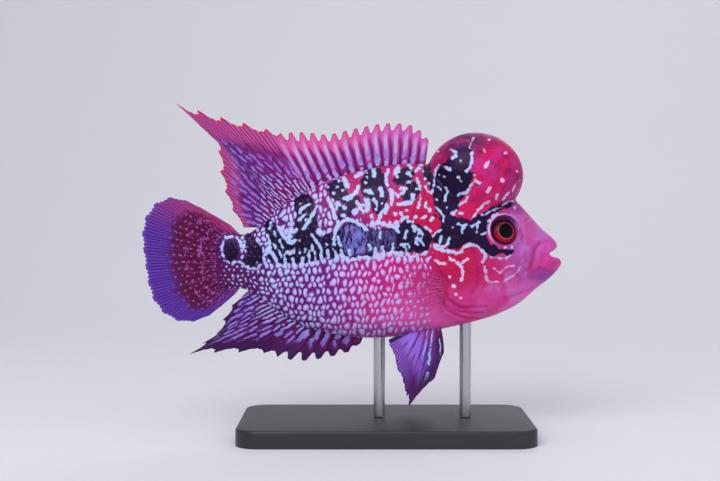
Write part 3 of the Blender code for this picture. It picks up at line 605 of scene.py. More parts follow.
def scalePlace(points):
    # u counts scales along a row and v counts rows up and down from the middle line
    x, y, z = points.T
    top, bottom, _, half, _, _ = section(x)
    depth = np.maximum(top - bottom, scales["leastDepth"])
    middle = bottom + depth * np.interp(x, *scales["middleAt"])
    arc = np.hypot(z - middle, np.maximum(half - np.abs(y), 0.0) * scales["overBack"])
    rowPitch = scales["rowPitch"] * (depth / scales["depthAtMiddle"]) ** scales["rowShrink"]
    u = (x + scales["lean"] * np.abs(z - middle) ** 1.5) / scales["pitch"]
    return u, np.sign(z - middle) * arc / rowPitch


def addRelief(skin):
    points = pointsOf(skin) / mm
    normals = normalsOf(skin)
    px, py = photoPlace(points)
    lift = np.zeros(len(points))

    x, z = points[:, 0], points[:, 2]
    onFlank = smoothStep(*foldForm["flankFrom"], np.abs(points[:, 1]))
    corners = gillCover["edge"] + gillCover["edge"][:1]
    edge = [tuple(point) for point in curveAt(corners, np.linspace(0, 1, gillCover["steps"])[:-1])]
    coverAway = outlineDistance(edge, x, z)
    behind = smoothStep(*gillCover["endsAt"], x) * onFlank
    slope = gillCover["slope"]
    lift += gillCover["raised"] * smoothStep(0.5 * slope, -slope, coverAway) * behind
    lift -= gillCover["groove"] * ridge(coverAway - gillCover["grooveAt"], gillCover["grooveWide"]) * behind

    # painted shade: how strongly each place is painted darker, in the folds of the head and along the gill
    # cover's edge
    creaseShade = np.zeros(len(points))
    for fold in faceFolds:
        away = lineDistance(fold["line"], px, py) * photo["pixel"]
        depth, wide = fold["depth"], fold["wide"]
        lift -= foldForm["depth"] * depth * ridge(away, wide) * onFlank
        lift += foldForm["shoulder"] * depth * ridge(away - foldForm["shoulderAt"] * wide, wide) * onFlank
        dark = depth / foldForm["fullDepth"] * ridge(away, foldForm["creaseWide"] * wide) * onFlank
        creaseShade = np.maximum(creaseShade, dark)
    creaseShade = np.maximum(creaseShade, ridge(coverAway - gillCover["creaseAt"], gillCover["creaseWide"]) * behind)
    setAttribute(skin, "creaseShade", creaseShade)

    u, v = scalePlace(points)
    cover = smoothStep(*scales["headEdge"], x) * smoothStep(*scales["tailEdge"], x)
    cover *= (coverAway > gillCover["creaseAt"]) * (z < scales["highest"])
    scaleU = u + 0.5 * (np.floor(v) % 2)   # every other row is half a scale further on
    across = scaleU - np.floor(scaleU)
    upDown = v - np.floor(v) - 0.5
    # each scale has a round hind edge and slopes down towards its front
    pastEdge = across - scales["edgeAt"] + scales["edgeCurve"] * upDown ** 2
    height = smoothStep(*scales["edgeBlur"], pastEdge) * smoothStep(*scales["slope"], across)
    lift += scales["relief"] * cover * (height - scales["level"])

    for side in (-1, 1):
        away = eyeDistance(points, side)
        lift += eye["rimHeight"] * ridge(away - eye["rim"], eye["rimWide"])
        lift -= eye["socketDepth"] * smoothStep(*eye["wall"], away - eye["socket"])
    eyeAway = np.minimum(eyeDistance(points, -1), eyeDistance(points, 1))
    setAttribute(skin, "eyeAway", eyeAway)
    overEye = z - eye["centre"][1] - eye["browLean"] * (x - eye["centre"][0])
    setAttribute(skin, "browShare", smoothStep(*eye["browFrom"], overEye / np.maximum(eyeAway, 1.0)))
    for shiftX, shiftZ, size in nostril["holes"]:
        away = np.hypot(x - nostril["centre"][0] - shiftX, z - nostril["centre"][1] - shiftZ)
        radius = nostril["radius"] * size
        lift -= nostril["depth"] * size * smoothStep(*nostril["wall"], away / radius) * onFlank
        lift += nostril["lip"] * size * ridge(away - nostril["lipAt"] * radius, nostril["lipWide"]) * onFlank
    setPoints(skin, (points + normals * lift[:, None]) * mm)


# Markings, as outlines and strokes in the photograph's pixels. A stroke ends in its width, and a dot too.

blackPatches = {
    "cheekMask": [(433, 214), (442, 216), (452, 214), (462, 217), (470, 219), (478, 214), (488, 208),
                  (497, 204), (507, 201), (514, 200.5), (512, 205), (504, 208), (497, 211), (489, 217),
                  (486, 226), (487, 236), (492, 243), (502, 248), (514, 250), (512, 253), (502, 252.5),
                  (492, 255.5), (486, 253), (480, 246), (471, 242), (465, 243), (457, 248), (449, 247),
                  (444, 243), (438, 243), (432, 238), (437, 230), (441, 225), (440, 219)],
    "hump": [(447, 161), (455, 153), (459, 146), (466, 146), (471, 151), (471, 161), (470, 168), (474, 173),
             (469, 185), (461, 199), (457, 208), (449, 217), (439, 215), (434, 207), (432.5, 191),
             (433.5, 181), (436, 168)],
    "nape": [(425, 163), (430, 160), (432, 175), (434, 188), (430, 190), (426, 180), (422, 172)],
    "tailSpot": [(226.5, 241), (231, 238.5), (236, 239), (238.5, 244), (239.5, 250), (238.5, 256),
                 (235, 259.5), (230, 261), (226, 258.5), (224.5, 252), (224.5, 245)],
    "tailBar": [(244, 237), (248, 234), (252, 235), (256, 240), (259, 243), (261, 249), (262, 256),
                (265, 265), (258, 262), (255, 266), (250, 267), (246, 263), (243, 260), (247, 256),
                (247, 249), (245.5, 243)],
    "flowerLine": [(264, 221), (271, 220), (277, 227), (281, 236), (286, 240), (292, 236), (296, 231),
                   (317, 231), (320, 236), (334, 231), (341, 226), (350, 221), (362, 224), (372, 227),
                   (380, 227), (395, 228), (402, 219), (408, 217), (415, 221), (426, 228), (433, 238),
                   (428, 250), (418, 252), (405, 251), (395, 250), (380, 250), (371, 256), (360, 254),
                   (350, 256), (340, 253), (334, 257), (325, 257), (318, 259), (305, 262), (285, 263),
                   (272, 262), (268, 256), (272, 247), (268, 236)],
    "lineRise": [(293, 204), (300, 200), (312, 202), (317, 209), (318, 222), (316, 234), (296, 234),
                 (294, 222), (297, 214)],
    "backFront": [(401.6, 167.2), (407.4, 166.1), (413.1, 168.4), (414.3, 173), (413.1, 178.7),
                  (418.9, 184.4), (420, 190.2), (417.7, 195.9), (414.3, 200.5), (408.5, 201.7),
                  (402.8, 199.4), (400.5, 193.6), (405.1, 190.2), (406.2, 186.7), (402.8, 184.4),
                  (397, 184.4), (393.6, 179.9), (395.9, 174.1)],
    "backMiddle": [(366, 168.4), (371.8, 167.2), (379.8, 168.4), (384.4, 173), (385.6, 179.9),
                   (386.7, 185.6), (389, 191.3), (389, 199.4), (385.6, 204), (381, 210.9), (376.4, 213.1),
                   (371.8, 209.7), (369.5, 202.8), (366, 197.1), (361.4, 192.5), (360.3, 185.6),
                   (361.4, 178.7), (363.7, 173)],
    "backHind": [(336.2, 177.6), (341.9, 178.7), (345.4, 184.4), (347.7, 190.2), (352.3, 193.6),
                 (360.3, 195.9), (362.6, 199.4), (355.7, 204), (352.3, 209.7), (350, 215.4), (344.2, 214.3),
                 (343.1, 207.4), (345.4, 202.8), (338.5, 201.7), (333.9, 199.4), (329.3, 195.9),
                 (325.9, 190.2), (327, 185.6), (332.7, 182.1)],
    "backDrop": [(339.6, 204), (343.1, 207.4), (344.2, 214.3), (340.8, 218.9), (337.3, 215.4),
                 (338.5, 208.6)],
    "backLast": [(298.3, 194.8), (305.2, 192.5), (310.9, 195.9), (312.1, 201.7), (310.9, 209.7),
                 (305.2, 214.3), (299.4, 213.1), (296, 207.4), (293.7, 200.5)],
}
greyStretches = [([(342, 227), (350, 223), (360, 225), (366, 229), (369, 240), (367, 252), (350, 255),
                   (343, 251)], 1.0),
                 ([(366, 228), (395, 229), (397, 246), (381, 249), (368, 252)], 0.42)]

humpStrokes = [
    [(473.5, 136.3), (471.4, 140.4), (469.4, 146.5), 2.0],
    [(472, 151.6), (471.4, 160.8), (469.4, 167), (466.3, 170), 3.0],
    [(451, 149.6), (456, 151.6), (455, 155.7), (452, 157.8), 3.0],
    [(450, 168), (448, 167.6), 4.0],
    [(450, 168), (443.9, 166), (438.8, 164.4), (435.7, 168), 1.4],
    [(435.7, 168), (434.7, 177), (433.7, 185.3), (431.6, 192.4), (427.6, 190.4), (425.5, 185.3), 2.0],
    [(424.5, 161.8), (419.4, 166), (415.3, 171), 2.5],
    [(444.9, 186.3), (448, 191.4), (445.4, 195.5), (444.9, 199.6), 2.5],
    [(437.8, 186.3), (441.8, 190.4), 1.6],
    [(474.5, 174), (475, 179.2), (470.4, 185.3), (466.3, 191.4), (460.2, 193), (457.7, 194), 2.5],
    [(475, 179.2), (479.6, 181.7), 2.5],
    [(467.3, 195.5), (465.3, 200.6), (459.2, 204.7), 2.8],
    [(488.8, 200.6), (483.7, 203.7), (478.6, 208.8), (475.5, 212.9), (471.4, 217), 2.5],
    [(513.3, 200.6), (508.2, 200.6), (500, 206.7), (491.8, 209.8), (484.7, 213.9), (481.6, 213.4), 2.0],
    [(508.2, 191.4), (505, 196.5), (503, 198.6), 2.0],
    [(518.4, 179.2), (514.3, 186.3), (512.2, 190.4), 1.3],
    [(497, 192.4), (495.9, 197.6), 2.5],
    [(489.8, 187.3), (486.7, 190.4), 3.5],
    [(488.3, 160.8), (485.2, 165.4), 3.5],
    [(483.2, 147.6), (484.7, 152.7), 2.0],
    [(435.7, 205.7), (440.8, 211.8), (443.9, 215), (442.9, 220), 2.5],
]
faceStrokes = [
    [(498, 212.2), (491.8, 216.3), (487.8, 221.4), (486.7, 226.5), 1.8],
    [(479.6, 220.4), (475.5, 223.5), (471.4, 225), 3.0],
    [(477.6, 222.4), (476.5, 230.6), 3.0],
    [(486.7, 231.6), (481.6, 232.7), 2.0],
    [(458.2, 222.4), (461.2, 224.5), (466.3, 223.5), 2.0],
    [(465.3, 224.5), (461.7, 228.6), (462.2, 231.6), 2.0],
    [(434.7, 243.9), (440.8, 244.9), (444.9, 244.9), (448, 240.8), (449, 236.7), 3.0],
    [(434.7, 243.9), (435.7, 247), (443.9, 249), (451, 250), (457, 252), (461.2, 250), (463.3, 245.9),
     (469.4, 242.9), 3.5],
    [(472.4, 243.9), (477.6, 244.9), (481.6, 249), (485.7, 253), (484.7, 258.2), (482.7, 261.2), 3.0],
    [(490.8, 256.1), (495.9, 256.1), (500, 257.1), (506.1, 257.1), (511.2, 254.1), 2.2],
    [(484.7, 265.3), (485.7, 271.4), (486.7, 278.6), (491.8, 281.6), (498, 280.6), 2.4],
    [(504, 280.6), (510.2, 276.5), (517.3, 271.4), (520.4, 266.3), 1.9],
    [(493.9, 267.3), (500, 271.4), (506.1, 266.3), (513.3, 264.3), 2.3],
    [(449, 256.1), (456.1, 260.2), (461.2, 265.3), (463.3, 272.4), (461.2, 279.6), 3.0],
    [(461.2, 262.2), (468.4, 257.1), 2.2],
    [(434.7, 259.2), (440.8, 261.7), (445.9, 262.8), 3.0],
    [(440.8, 228.6), (435.7, 231.6), (432.7, 235.7), 2.0],
    [(440.8, 235.7), (439.8, 240.8), 3.0],
]
lineStrokes = [
    [(335, 231), (337, 226), (341, 222), (346, 218.5), (352, 219), (358, 222), (363, 225), (367, 228.5), 4.0],
    [(372, 224), (375, 222.5), 4.2],
    [(380, 221.5), (386, 223.5), (392, 224.5), (396, 227), (398.5, 231), 4.0],
    [(396, 221), (398, 224), 4.2],
    [(401, 218.5), (404, 216), (407, 215.5), 4.0],
    [(408, 220), (413, 220.5), 3.2],
    [(415, 225), (420, 229), (423, 233.5), 3.0],
    [(407, 229), (405.5, 233), (405, 236.5), 2.6],
    [(412.5, 224.5), (414, 228), 2.4],
    [(401.5, 243), (407.5, 242.5), 3.0],
    [(409.5, 244), (409.5, 246.5), 2.2],
    [(415.5, 241), (418.5, 244), 2.8],
    [(420.5, 238), (423.5, 243.5), 2.8],
    [(381, 229.5), (379.8, 236), 2.4],
    [(404, 245), (406, 250), (408.5, 254), 3.0],
    [(412, 255), (418, 254), 2.8],
    [(421, 253), (426, 252.5), 2.4],
    [(388, 253), (392, 250.5), 3.6],
    [(395.5, 250.5), (399, 252.5), (402, 254), 3.4],
    [(393, 242.5), (393.4, 248), 2.4],
    [(382, 246), (384, 251), (383, 257), 3.4],
    [(375.5, 246.5), (375, 252), (374, 257), 3.6],
    [(369, 244), (370.2, 248.5), 2.4],
    [(344, 256), (350, 259), (355, 258.5), 3.2],
    [(358.5, 257.5), (363, 256.5), 3.2],
    [(366, 255.5), (370.5, 258), 3.0],
    [(349, 249), (349.5, 255), 3.2],
    [(335, 230), (334.5, 236), (334, 243), 3.4],
    [(337.5, 236), (339, 241), (341.5, 246), 3.4],
    [(341, 249), (342, 255), 3.2],
    [(335.5, 250), (337, 257), 3.0],
    [(328, 249.5), (328.5, 257), 3.2],
    [(321.5, 250), (321, 258), 3.0],
    [(312.5, 234), (315.5, 239), (319, 244), (321, 248), 3.6],
    [(311.5, 244), (312.5, 249), 2.6],
    [(315.2, 252), (315.4, 262), 3.2],
    [(309, 250), (309.4, 262), 3.2],
    [(303.5, 257), (301, 264), 3.6],
    [(305, 248), (305, 251), 2.0],
    [(299.5, 248), (300.2, 252), 2.0],
    [(289, 241.5), (294, 241), 5.6],
    [(287.5, 251), (290, 252.5), (293, 250.5), 4.6],
    [(279, 227), (282, 233), (285.5, 238), 3.8],
    [(290.5, 228), (288.5, 236), 3.0],
    [(291, 215), (291.5, 224), 3.4],
    [(279.5, 240), (282.5, 247), 2.4],
    [(278.5, 249.5), (281.5, 256), 2.6],
    [(273.5, 243), (275.5, 246.5), 2.8],
    [(274, 231), (275.5, 235), 2.2],
    [(271.5, 222.5), (269.5, 228), 3.2],
    [(267, 234.5), (269.5, 240), (269, 246.5), 3.2],
    [(266, 251), (271, 250.5), (273.5, 255.5), 5.0],
    [(276, 258), (277, 264), 3.0],
    [(284.5, 255), (285.5, 263), 2.6],
    [(292, 258), (294, 264), 2.8],
    [(263, 257), (265, 263), 2.4],
    [(316.5, 206), (313, 213), (309, 220), (303.5, 228.5), 3.4],
    [(309, 204), (302.5, 206.5), (300, 212), 3.2],
    [(305, 214), (299, 219.5), 3.4],
    [(295, 231), (296, 229), 3.8],
    [(318.5, 229), (321, 233), 3.8],
    [(224, 241), (222, 247), (222, 253), (224.5, 259.5), (229, 262.5), 1.8],
    [(226, 238), (231, 236), (236, 235.5), 1.6],
    [(238, 238.5), (240, 242), (241.5, 246.5), 2.2],
    [(233, 262.5), (240, 261.5), (244, 265), (250, 269), (259, 268), 2.2],
    [(245, 244), (243.5, 249), 2.2],
    [(257, 240), (260, 244.5), 2.6],
]
backStrokes = [
    [(373.5, 169.5), (374.5, 175), 5.0],
    [(366.5, 170.5), (367, 172.5), 2.0],
    [(367, 176), (367.2, 177.5), 2.0],
    [(365.5, 190), (369, 190), (372, 192.5), 4.4],
    [(381, 188), (381.5, 194), 4.8],
    [(365.5, 197.5), (368, 203), (367, 209.5), 4.2],
    [(376, 200.5), (377, 205.5), 3.0],
    [(386.5, 203), (385.5, 211), 4.8],
    [(381.5, 211), (379.5, 218), 4.0],
    [(388, 170), (386, 177.5), (387, 183.5), 3.6],
    [(356, 175.5), (361, 173), 5.0],
    [(351.5, 195), (356, 192.5), (358.5, 186), 4.2],
    [(344, 178.5), (347.5, 186), 5.0],
    [(344.5, 197), (350, 197), 5.0],
    [(357, 201), (360, 206.5), (364, 211), 4.2],
    [(398.5, 167.5), (395.5, 172), 5.0],
    [(409, 164.5), (411, 168), 4.0],
    [(408, 172.5), (410.5, 174.5), 4.0],
    [(407.5, 181.5), (410.5, 180.5), 3.4],
    [(400.5, 187), (405.5, 188), (402, 192.5), 4.4],
    [(413, 194), (413, 198), 4.8],
    [(417, 178), (419, 184), (420.5, 188), 3.6],
    [(391, 190), (392, 195.5), 4.8],
    [(395.5, 192), (398, 195.5), 3.6],
    [(392, 198), (391, 203), 4.0],
    [(398, 203), (403, 202.5), (412, 201), 4.4],
    [(329, 201), (333, 208), (335.5, 217), 4.2],
    [(337, 168), (333.5, 178), 3.8],
    [(346.5, 165.5), (343.5, 172), 4.8],
    [(419.5, 201.5), (418.5, 206), 2.8],
    [(425.5, 201.5), (425, 206), 2.8],
    [(420.2, 193), (420.4, 198), 1.6],
    [(421, 217), (426, 215.5), 2.8],
    [(425, 225), (430, 229), 3.0],
    [(431, 219), (433, 217), 3.0],
]
paleDots = [(502, 179.2, 5.0), (505, 152.6, 2.5), (516, 170.5, 1.6), (436.2, 198.6, 4.0),
            (446.4, 206.7, 2.5), (458.2, 176, 3.0), (461, 180, 3.0), (438.8, 174, 2.0), (443.9, 176, 2.0),
            (460.2, 159.8, 2.4), (456.6, 142, 2.2), (488.8, 139.4, 2.0), (437.8, 151.6, 1.6),
            (519, 189.4, 1.6), (453, 212, 4.0), (461, 212, 4.0), (456, 209, 3.0), (453, 225.5, 3.0),
            (453.6, 284.7, 4.0), (456.1, 293.4, 3.0), (460.7, 296.4, 3.0), (450, 275.5, 2.2),
            (505.6, 246.4, 2.4), (512.2, 246.4, 2.4), (514.3, 207.7, 2.4), (355, 210.5, 6.4),
            (338, 203, 5.4), (344, 206.5, 4.4), (343.5, 214.5, 5.0), (337, 186.5, 3.2), (333.5, 192, 3.6),
            (342, 190, 3.2), (395, 212.5, 4.4), (400.5, 212.5, 4.2), (407, 209.5, 3.4), (415.5, 215.5, 4.6),
            (429.5, 209, 4.2), (371.5, 215.5, 5.0), (330, 222, 4.4), (416, 188.5, 2.4), (365.5, 181.5, 2.6),
            (374, 198.5, 3.6), (368, 198.5, 3.2), (382, 202, 3.4), (376.5, 208, 3.2), (367.5, 207, 3.4),
            (363, 203.5, 3.0), (387, 204, 2.8), (347.5, 199, 3.4), (339, 180.5, 2.6), (327.5, 186, 2.8),
            (398, 170.5, 3.8), (397, 176, 3.0), (410, 181, 3.4), (403, 188, 3.2), (413, 196.5, 3.4),
            (423, 171, 2.2), (425, 178, 2.2), (429, 182.5, 2.0), (414, 230, 3.0), (419, 232.5, 2.8),
            (417, 237, 3.0), (423.5, 241, 2.8), (301, 203, 2.6), (296, 212, 2.6), (306, 219, 2.8),
            (291, 236, 2.6), (299, 240, 2.8), (312, 244, 2.6), (327, 243, 2.6), (333, 248, 2.6)]

# Ground colours of the skin, with painted shade under the belly and the lower lip and a painted highlight on
# the snout, each where it is strongest, with its reach, in pixels of the photograph
groundAndPaintedLightZones = {
    "back": {"at": (340, 172), "reach": (75, 24), "colour": (176, 36, 120)},
    "nape": {"at": (405, 160), "reach": (28, 16), "colour": (196, 30, 112)},
    "shoulder": {"at": (420, 205), "reach": (18, 30), "colour": (196, 0, 62)},
    "shoulderLow": {"at": (388, 214), "reach": (18, 9), "colour": (206, 10, 84)},
    "redFleck": {"at": (352, 182), "reach": (9, 10), "colour": (206, 40, 90)},
    "flank": {"at": (300, 225), "reach": (60, 34), "colour": (118, 20, 112)},
    "stalk": {"at": (245, 258), "reach": (30, 32), "colour": (48, 10, 84), "strength": 1.3},
    "belly": {"at": (310, 285), "reach": (56, 30), "colour": (112, 34, 140)},
    "bellyFront": {"at": (390, 284), "reach": (34, 30), "colour": (220, 30, 128), "strength": 1.6},
    # painted shade along the underside of the belly
    "bellyShade": {"at": (390, 330), "reach": (44, 5), "colour": (160, 66, 158), "strength": 1.6},
    "breast": {"at": (420, 312), "reach": (34, 22), "colour": (255, 118, 206)},
    "gillRed": {"at": (456, 272), "reach": (26, 26), "colour": (190, 0, 58)},
    "gillLow": {"at": (462, 305), "reach": (30, 14), "colour": (216, 22, 118)},
    "cheek": {"at": (494, 268), "reach": (18, 20), "colour": (198, 32, 108)},
    "chin": {"at": (500, 302), "reach": (30, 14), "colour": (240, 102, 202)},
    "face": {"at": (520, 240), "reach": (18, 28), "colour": (186, 92, 182)},
    # the snout's own lavender, made paler on its top as a painted highlight
    "snoutWithHighlight": {"at": (528, 226), "reach": (16, 10), "colour": (204, 120, 204)},
    "underEye": {"at": (522, 262), "reach": (9, 12), "colour": (168, 66, 150)},
    "upperLip": {"at": (547, 245), "reach": (9, 7), "colour": (206, 84, 178)},
    "lowerLip": {"at": (553, 263), "reach": (10, 7), "colour": (214, 58, 150), "strength": 2.5},
    # painted shadow under the lower lip
    "shadowUnderLip": {"at": (548, 273.5), "reach": (12, 4), "colour": (148, 66, 160), "strength": 2.2},
    "humpRed": {"at": (494, 172), "reach": (30, 30), "colour": (212, 4, 84)},
    "humpHind": {"at": (440, 156), "reach": (16, 20), "colour": (146, 0, 62)},
    "humpDusk": {"at": (459, 144), "reach": (13, 13), "colour": (72, 8, 76), "strength": 4.0},
    "humpCrown": {"at": (463, 140), "reach": (15, 7), "colour": (66, 4, 58), "strength": 5.0},
    "humpTop": {"at": (474, 132), "reach": (34, 9), "colour": (128, 12, 92), "strength": 2.0},
    "humpFront": {"at": (516, 186), "reach": (12, 24), "colour": (150, 26, 122)},
}
# Areas of the photograph. Each grows from nothing at the first value of px and of py to full at the second,
# and fades again from the first value of pxEnd to its second. The pearls' size changes by a share in them.
pearlAreas = {
    "breast": {"px": (385.0, 425.0), "py": (262.0, 290.0), "change": -0.30},
    "underLine": {"px": (345.0, 380.0), "py": (255.0, 268.0), "change": -0.08},
    "lineFront": {"px": (395.0, 415.0), "py": (260.0, 240.0), "change": -0.30},
    "stalkLow": {"px": (268.0, 250.0), "py": (255.0, 264.0), "change": -0.40},
}
besideBlack = {"px": (262.0, 275.0), "pxEnd": (400.0, 430.0), "py": (222.0, 228.0), "change": 0.40, "at": 0.8,
               "wide": 0.75}
markedBack = {"px": (336.0, 348.0), "change": -0.9, "hindLevel": 218.0, "frontLevel": 232.0,
              "frontFrom": 392.0, "blur": 3.0}
faintArea = {"px": (474.0, 488.0), "py": (250.0, 262.0)}
bareArea = {"px": (470.0, 500.0), "pxEnd": (526.0, 542.0), "py": (205.0, 215.0)}
skinEdges = {"head": (437.0, 424.0), "tail": (-36.0, -31.0), "tailSpot": (0.0, 0.4), "grey": (0.5, -0.9),
             "strokeWidth": 0.45, "leastWeight": 1e-6, "hump": (1.25, 0.95), "humpAbove": (60.0, 63.0),
             "coolByBlack": (3.6, 0.5), "coolByBlackShare": 0.85, "coolHind": (355.0, 285.0),
             "coolHindShare": 0.75, "lineHind": (350.0, 290.0), "lineLeast": 0.2, "lineByBlack": (0.3, 1.6)}


def areaShare(area, px, py):
    share = smoothStep(*area["px"], px) * smoothStep(*area["py"], py)
    if "pxEnd" in area:
        share *= 1.0 - smoothStep(*area["pxEnd"], px)
    return share


def paintSkin(skin):
    points = pointsOf(skin) / mm
    px, py = photoPlace(points)

    black = np.full(len(points), farOff)
    for outline in blackPatches.values():
        black = np.minimum(black, outlineDistance(outline, px, py) * photo["pixel"])
    setAttribute(skin, "blackAway", black)
    grey = np.zeros(len(points))
    for outline, strength in greyStretches:
        away = outlineDistance(outline, px, py) * photo["pixel"]
        grey = np.maximum(grey, strength * smoothStep(*skinEdges["grey"], away))
    setAttribute(skin, "greyShare", grey)

    pale = np.full(len(points), farOff)
    for stroke in humpStrokes + faceStrokes + lineStrokes + backStrokes:
        pale = np.minimum(pale, lineDistance(stroke[:-1], px, py) - stroke[-1] * skinEdges["strokeWidth"])
    for dotX, dotY, wide in paleDots:
        pale = np.minimum(pale, np.hypot(px - dotX, py - dotY) - wide / 2)
    setAttribute(skin, "paleAway", pale * photo["pixel"])

    weights = np.zeros(len(points))
    colours = np.zeros((len(points), 3))
    for zone in groundAndPaintedLightZones.values():
        (atX, atY), (reachX, reachY) = zone["at"], zone["reach"]
        weight = ridge(px - atX, reachX) * ridge(py - atY, reachY) + skinEdges["leastWeight"]
        weight *= zone.get("strength", 1.0)
        weights += weight
        colours += weight[:, None] * np.array(linear(*zone["colour"])[:3])
    setColours(skin, "groundWithPaintedLight", colours / weights[:, None])

    onHump = (((points - body["humpCentre"]) / body["humpRadii"]) ** 2).sum(axis=1)
    humpShare = smoothStep(*skinEdges["hump"], onHump) * smoothStep(*skinEdges["humpAbove"], points[:, 2])
    setAttribute(skin, "humpShare", humpShare)

    setUv(skin, "scaleRows", *scalePlace(points))
    toHead = smoothStep(*skinEdges["head"], px)
    size = toHead * smoothStep(*skinEdges["tail"], points[:, 0])
    for area in pearlAreas.values():
        size *= 1.0 + area["change"] * areaShare(area, px, py)
    nearBlack = ridge(black - besideBlack["at"], besideBlack["wide"])
    size *= 1.0 + besideBlack["change"] * nearBlack * areaShare(besideBlack, px, py)
    level = np.where(px > markedBack["frontFrom"], markedBack["frontLevel"], markedBack["hindLevel"])
    above = smoothStep(markedBack["blur"], -markedBack["blur"], py - level)
    size *= 1.0 + markedBack["change"] * smoothStep(*markedBack["px"], px) * above
    spotAway = outlineDistance(blackPatches["tailSpot"], px, py) * photo["pixel"]
    size *= smoothStep(*skinEdges["tailSpot"], spotAway)
    setAttribute(skin, "pearlSize", size)

    coolShare = smoothStep(*skinEdges["coolByBlack"], black) * skinEdges["coolByBlackShare"]
    coolShare += smoothStep(*skinEdges["coolHind"], px) * skinEdges["coolHindShare"]
    setAttribute(skin, "coolShare", coolShare)
    setAttribute(skin, "faintShare", areaShare(faintArea, px, py))
    setAttribute(skin, "bareShare", areaShare(bareArea, px, py))
    least = skinEdges["lineLeast"]
    lineShare = least + (1.0 - least) * smoothStep(*skinEdges["lineHind"], px)
    setAttribute(skin, "lineShare", lineShare * toHead * smoothStep(*skinEdges["lineByBlack"], black))


pearlForm = {"width": 0.30, "height": 0.38, "wander": 1.05, "wanderScale": 0.7, "rowShift": 0.5,
             "randomness": 0.28, "least": 0.82, "spread": 0.40, "raggedScale": 1.5, "ragged": 0.44,
             "edge": (0.40, -0.32), "growFrom": (0.05, 0.3), "dome": (0.0, -0.70), "gap": (0.20, 0.62)}


def makePearlGroup():
    group, given, result = newGroup("pearlRows", {"Rows": "Vector", "Size": "Float"},
                                    {"Pearl": "Float", "Tone": "Float", "Dome": "Float", "Line": "Float"})
    wander = noise(group, given["Rows"], pearlForm["wanderScale"], 0.0, "Color")
    centred = addNode(group, "ShaderNodeVectorMath", {0: wander, 1: (0.5, 0.5, 0.5)}, operation="SUBTRACT")
    scaled = addNode(group, "ShaderNodeVectorMath", {0: centred.outputs[0], "Scale": pearlForm["wander"]},
                     operation="SCALE")
    moved = addNode(group, "ShaderNodeVectorMath", {0: given["Rows"], 1: scaled.outputs[0]}, operation="ADD")
    parts = addNode(group, "ShaderNodeSeparateXYZ", {0: moved.outputs[0]}).outputs
    sheared = calc(group, "MULTIPLY_ADD", parts["Y"], pearlForm["rowShift"], parts["X"])
    awayX, awayY, tone = cells(group, sheared, parts["Y"], pearlForm["randomness"])
    alongRow = calc(group, "MULTIPLY_ADD", awayY, -pearlForm["rowShift"], awayX)
    overWidth = calc(group, "DIVIDE", alongRow, pearlForm["width"])
    overHeight = calc(group, "DIVIDE", awayY, pearlForm["height"])
    reach = calc(group, "SQRT", calc(group, "ADD", times(group, overWidth, overWidth),
                                     times(group, overHeight, overHeight)))
    radius = times(group, given["Size"],
                   calc(group, "MULTIPLY_ADD", tone, pearlForm["spread"], pearlForm["least"]))
    ragged = noise(group, given["Rows"], pearlForm["raggedScale"], 0.0)
    beyond = calc(group, "SUBTRACT", shaken(group, reach, ragged, pearlForm["ragged"]), radius)
    shown = times(group, ease(group, beyond, *pearlForm["edge"]),
                  ease(group, given["Size"], *pearlForm["growFrom"]))
    connect(group, shown, result["Pearl"])
    connect(group, tone, result["Tone"])
    connect(group, times(group, shown, ease(group, beyond, *pearlForm["dome"])), result["Dome"])
    connect(group, ease(group, beyond, *pearlForm["gap"]), result["Line"])
    return group


skinTones = {"black": (4, 0, 32), "grey": (120, 116, 204), "pearl": (202, 174, 252),
             "pearlCool": (164, 188, 252), "pale": (226, 200, 244), "paleCool": (180, 206, 252)}
# Layers of colour. A pattern is a noise's scale and detail, and the values where its patches start and
# where they are full.
skinLayers = {
    "bloom": {"colour": (192, 44, 142), "strength": 0.6, "pattern": (240.0, 5.0, 0.46, 0.60)},
    "vein": {"colour": (104, 2, 64), "strength": 0.65, "pattern": (460.0, 6.0, 0.53, 0.68)},
    "speck": {"colour": (216, 96, 170), "strength": 0.14},
    "flush": {"colour": (204, 26, 100), "strength": 0.55, "pattern": (150.0, 5.0, 0.44, 0.62)},
    "cloud": {"colour": (190, 128, 202), "strength": 0.55, "pattern": (260.0, 6.0, 0.50, 0.66)},
    # painted shade in the folds of the head and along the gill cover's edge
    "creaseShade": {"colour": (176, 20, 96), "strength": 0.5},
    "sheen": {"colour": (44, 22, 108), "strength": 0.24, "pattern": (300.0, 3.0, 0.5, 0.7)},
    "orbit": {"colour": (52, 10, 64), "strength": 0.85, "pattern": (220.0, 2.0, 0.15, 0.4)},
    # painted highlight along the orbit's upper outer rim
    "arc": {"colour": (210, 200, 250), "strength": 0.85},
    "pearlCentre": {"colour": (228, 216, 255), "strength": 0.5},
    "line": {"colour": (84, 6, 72), "strength": 0.75},
}
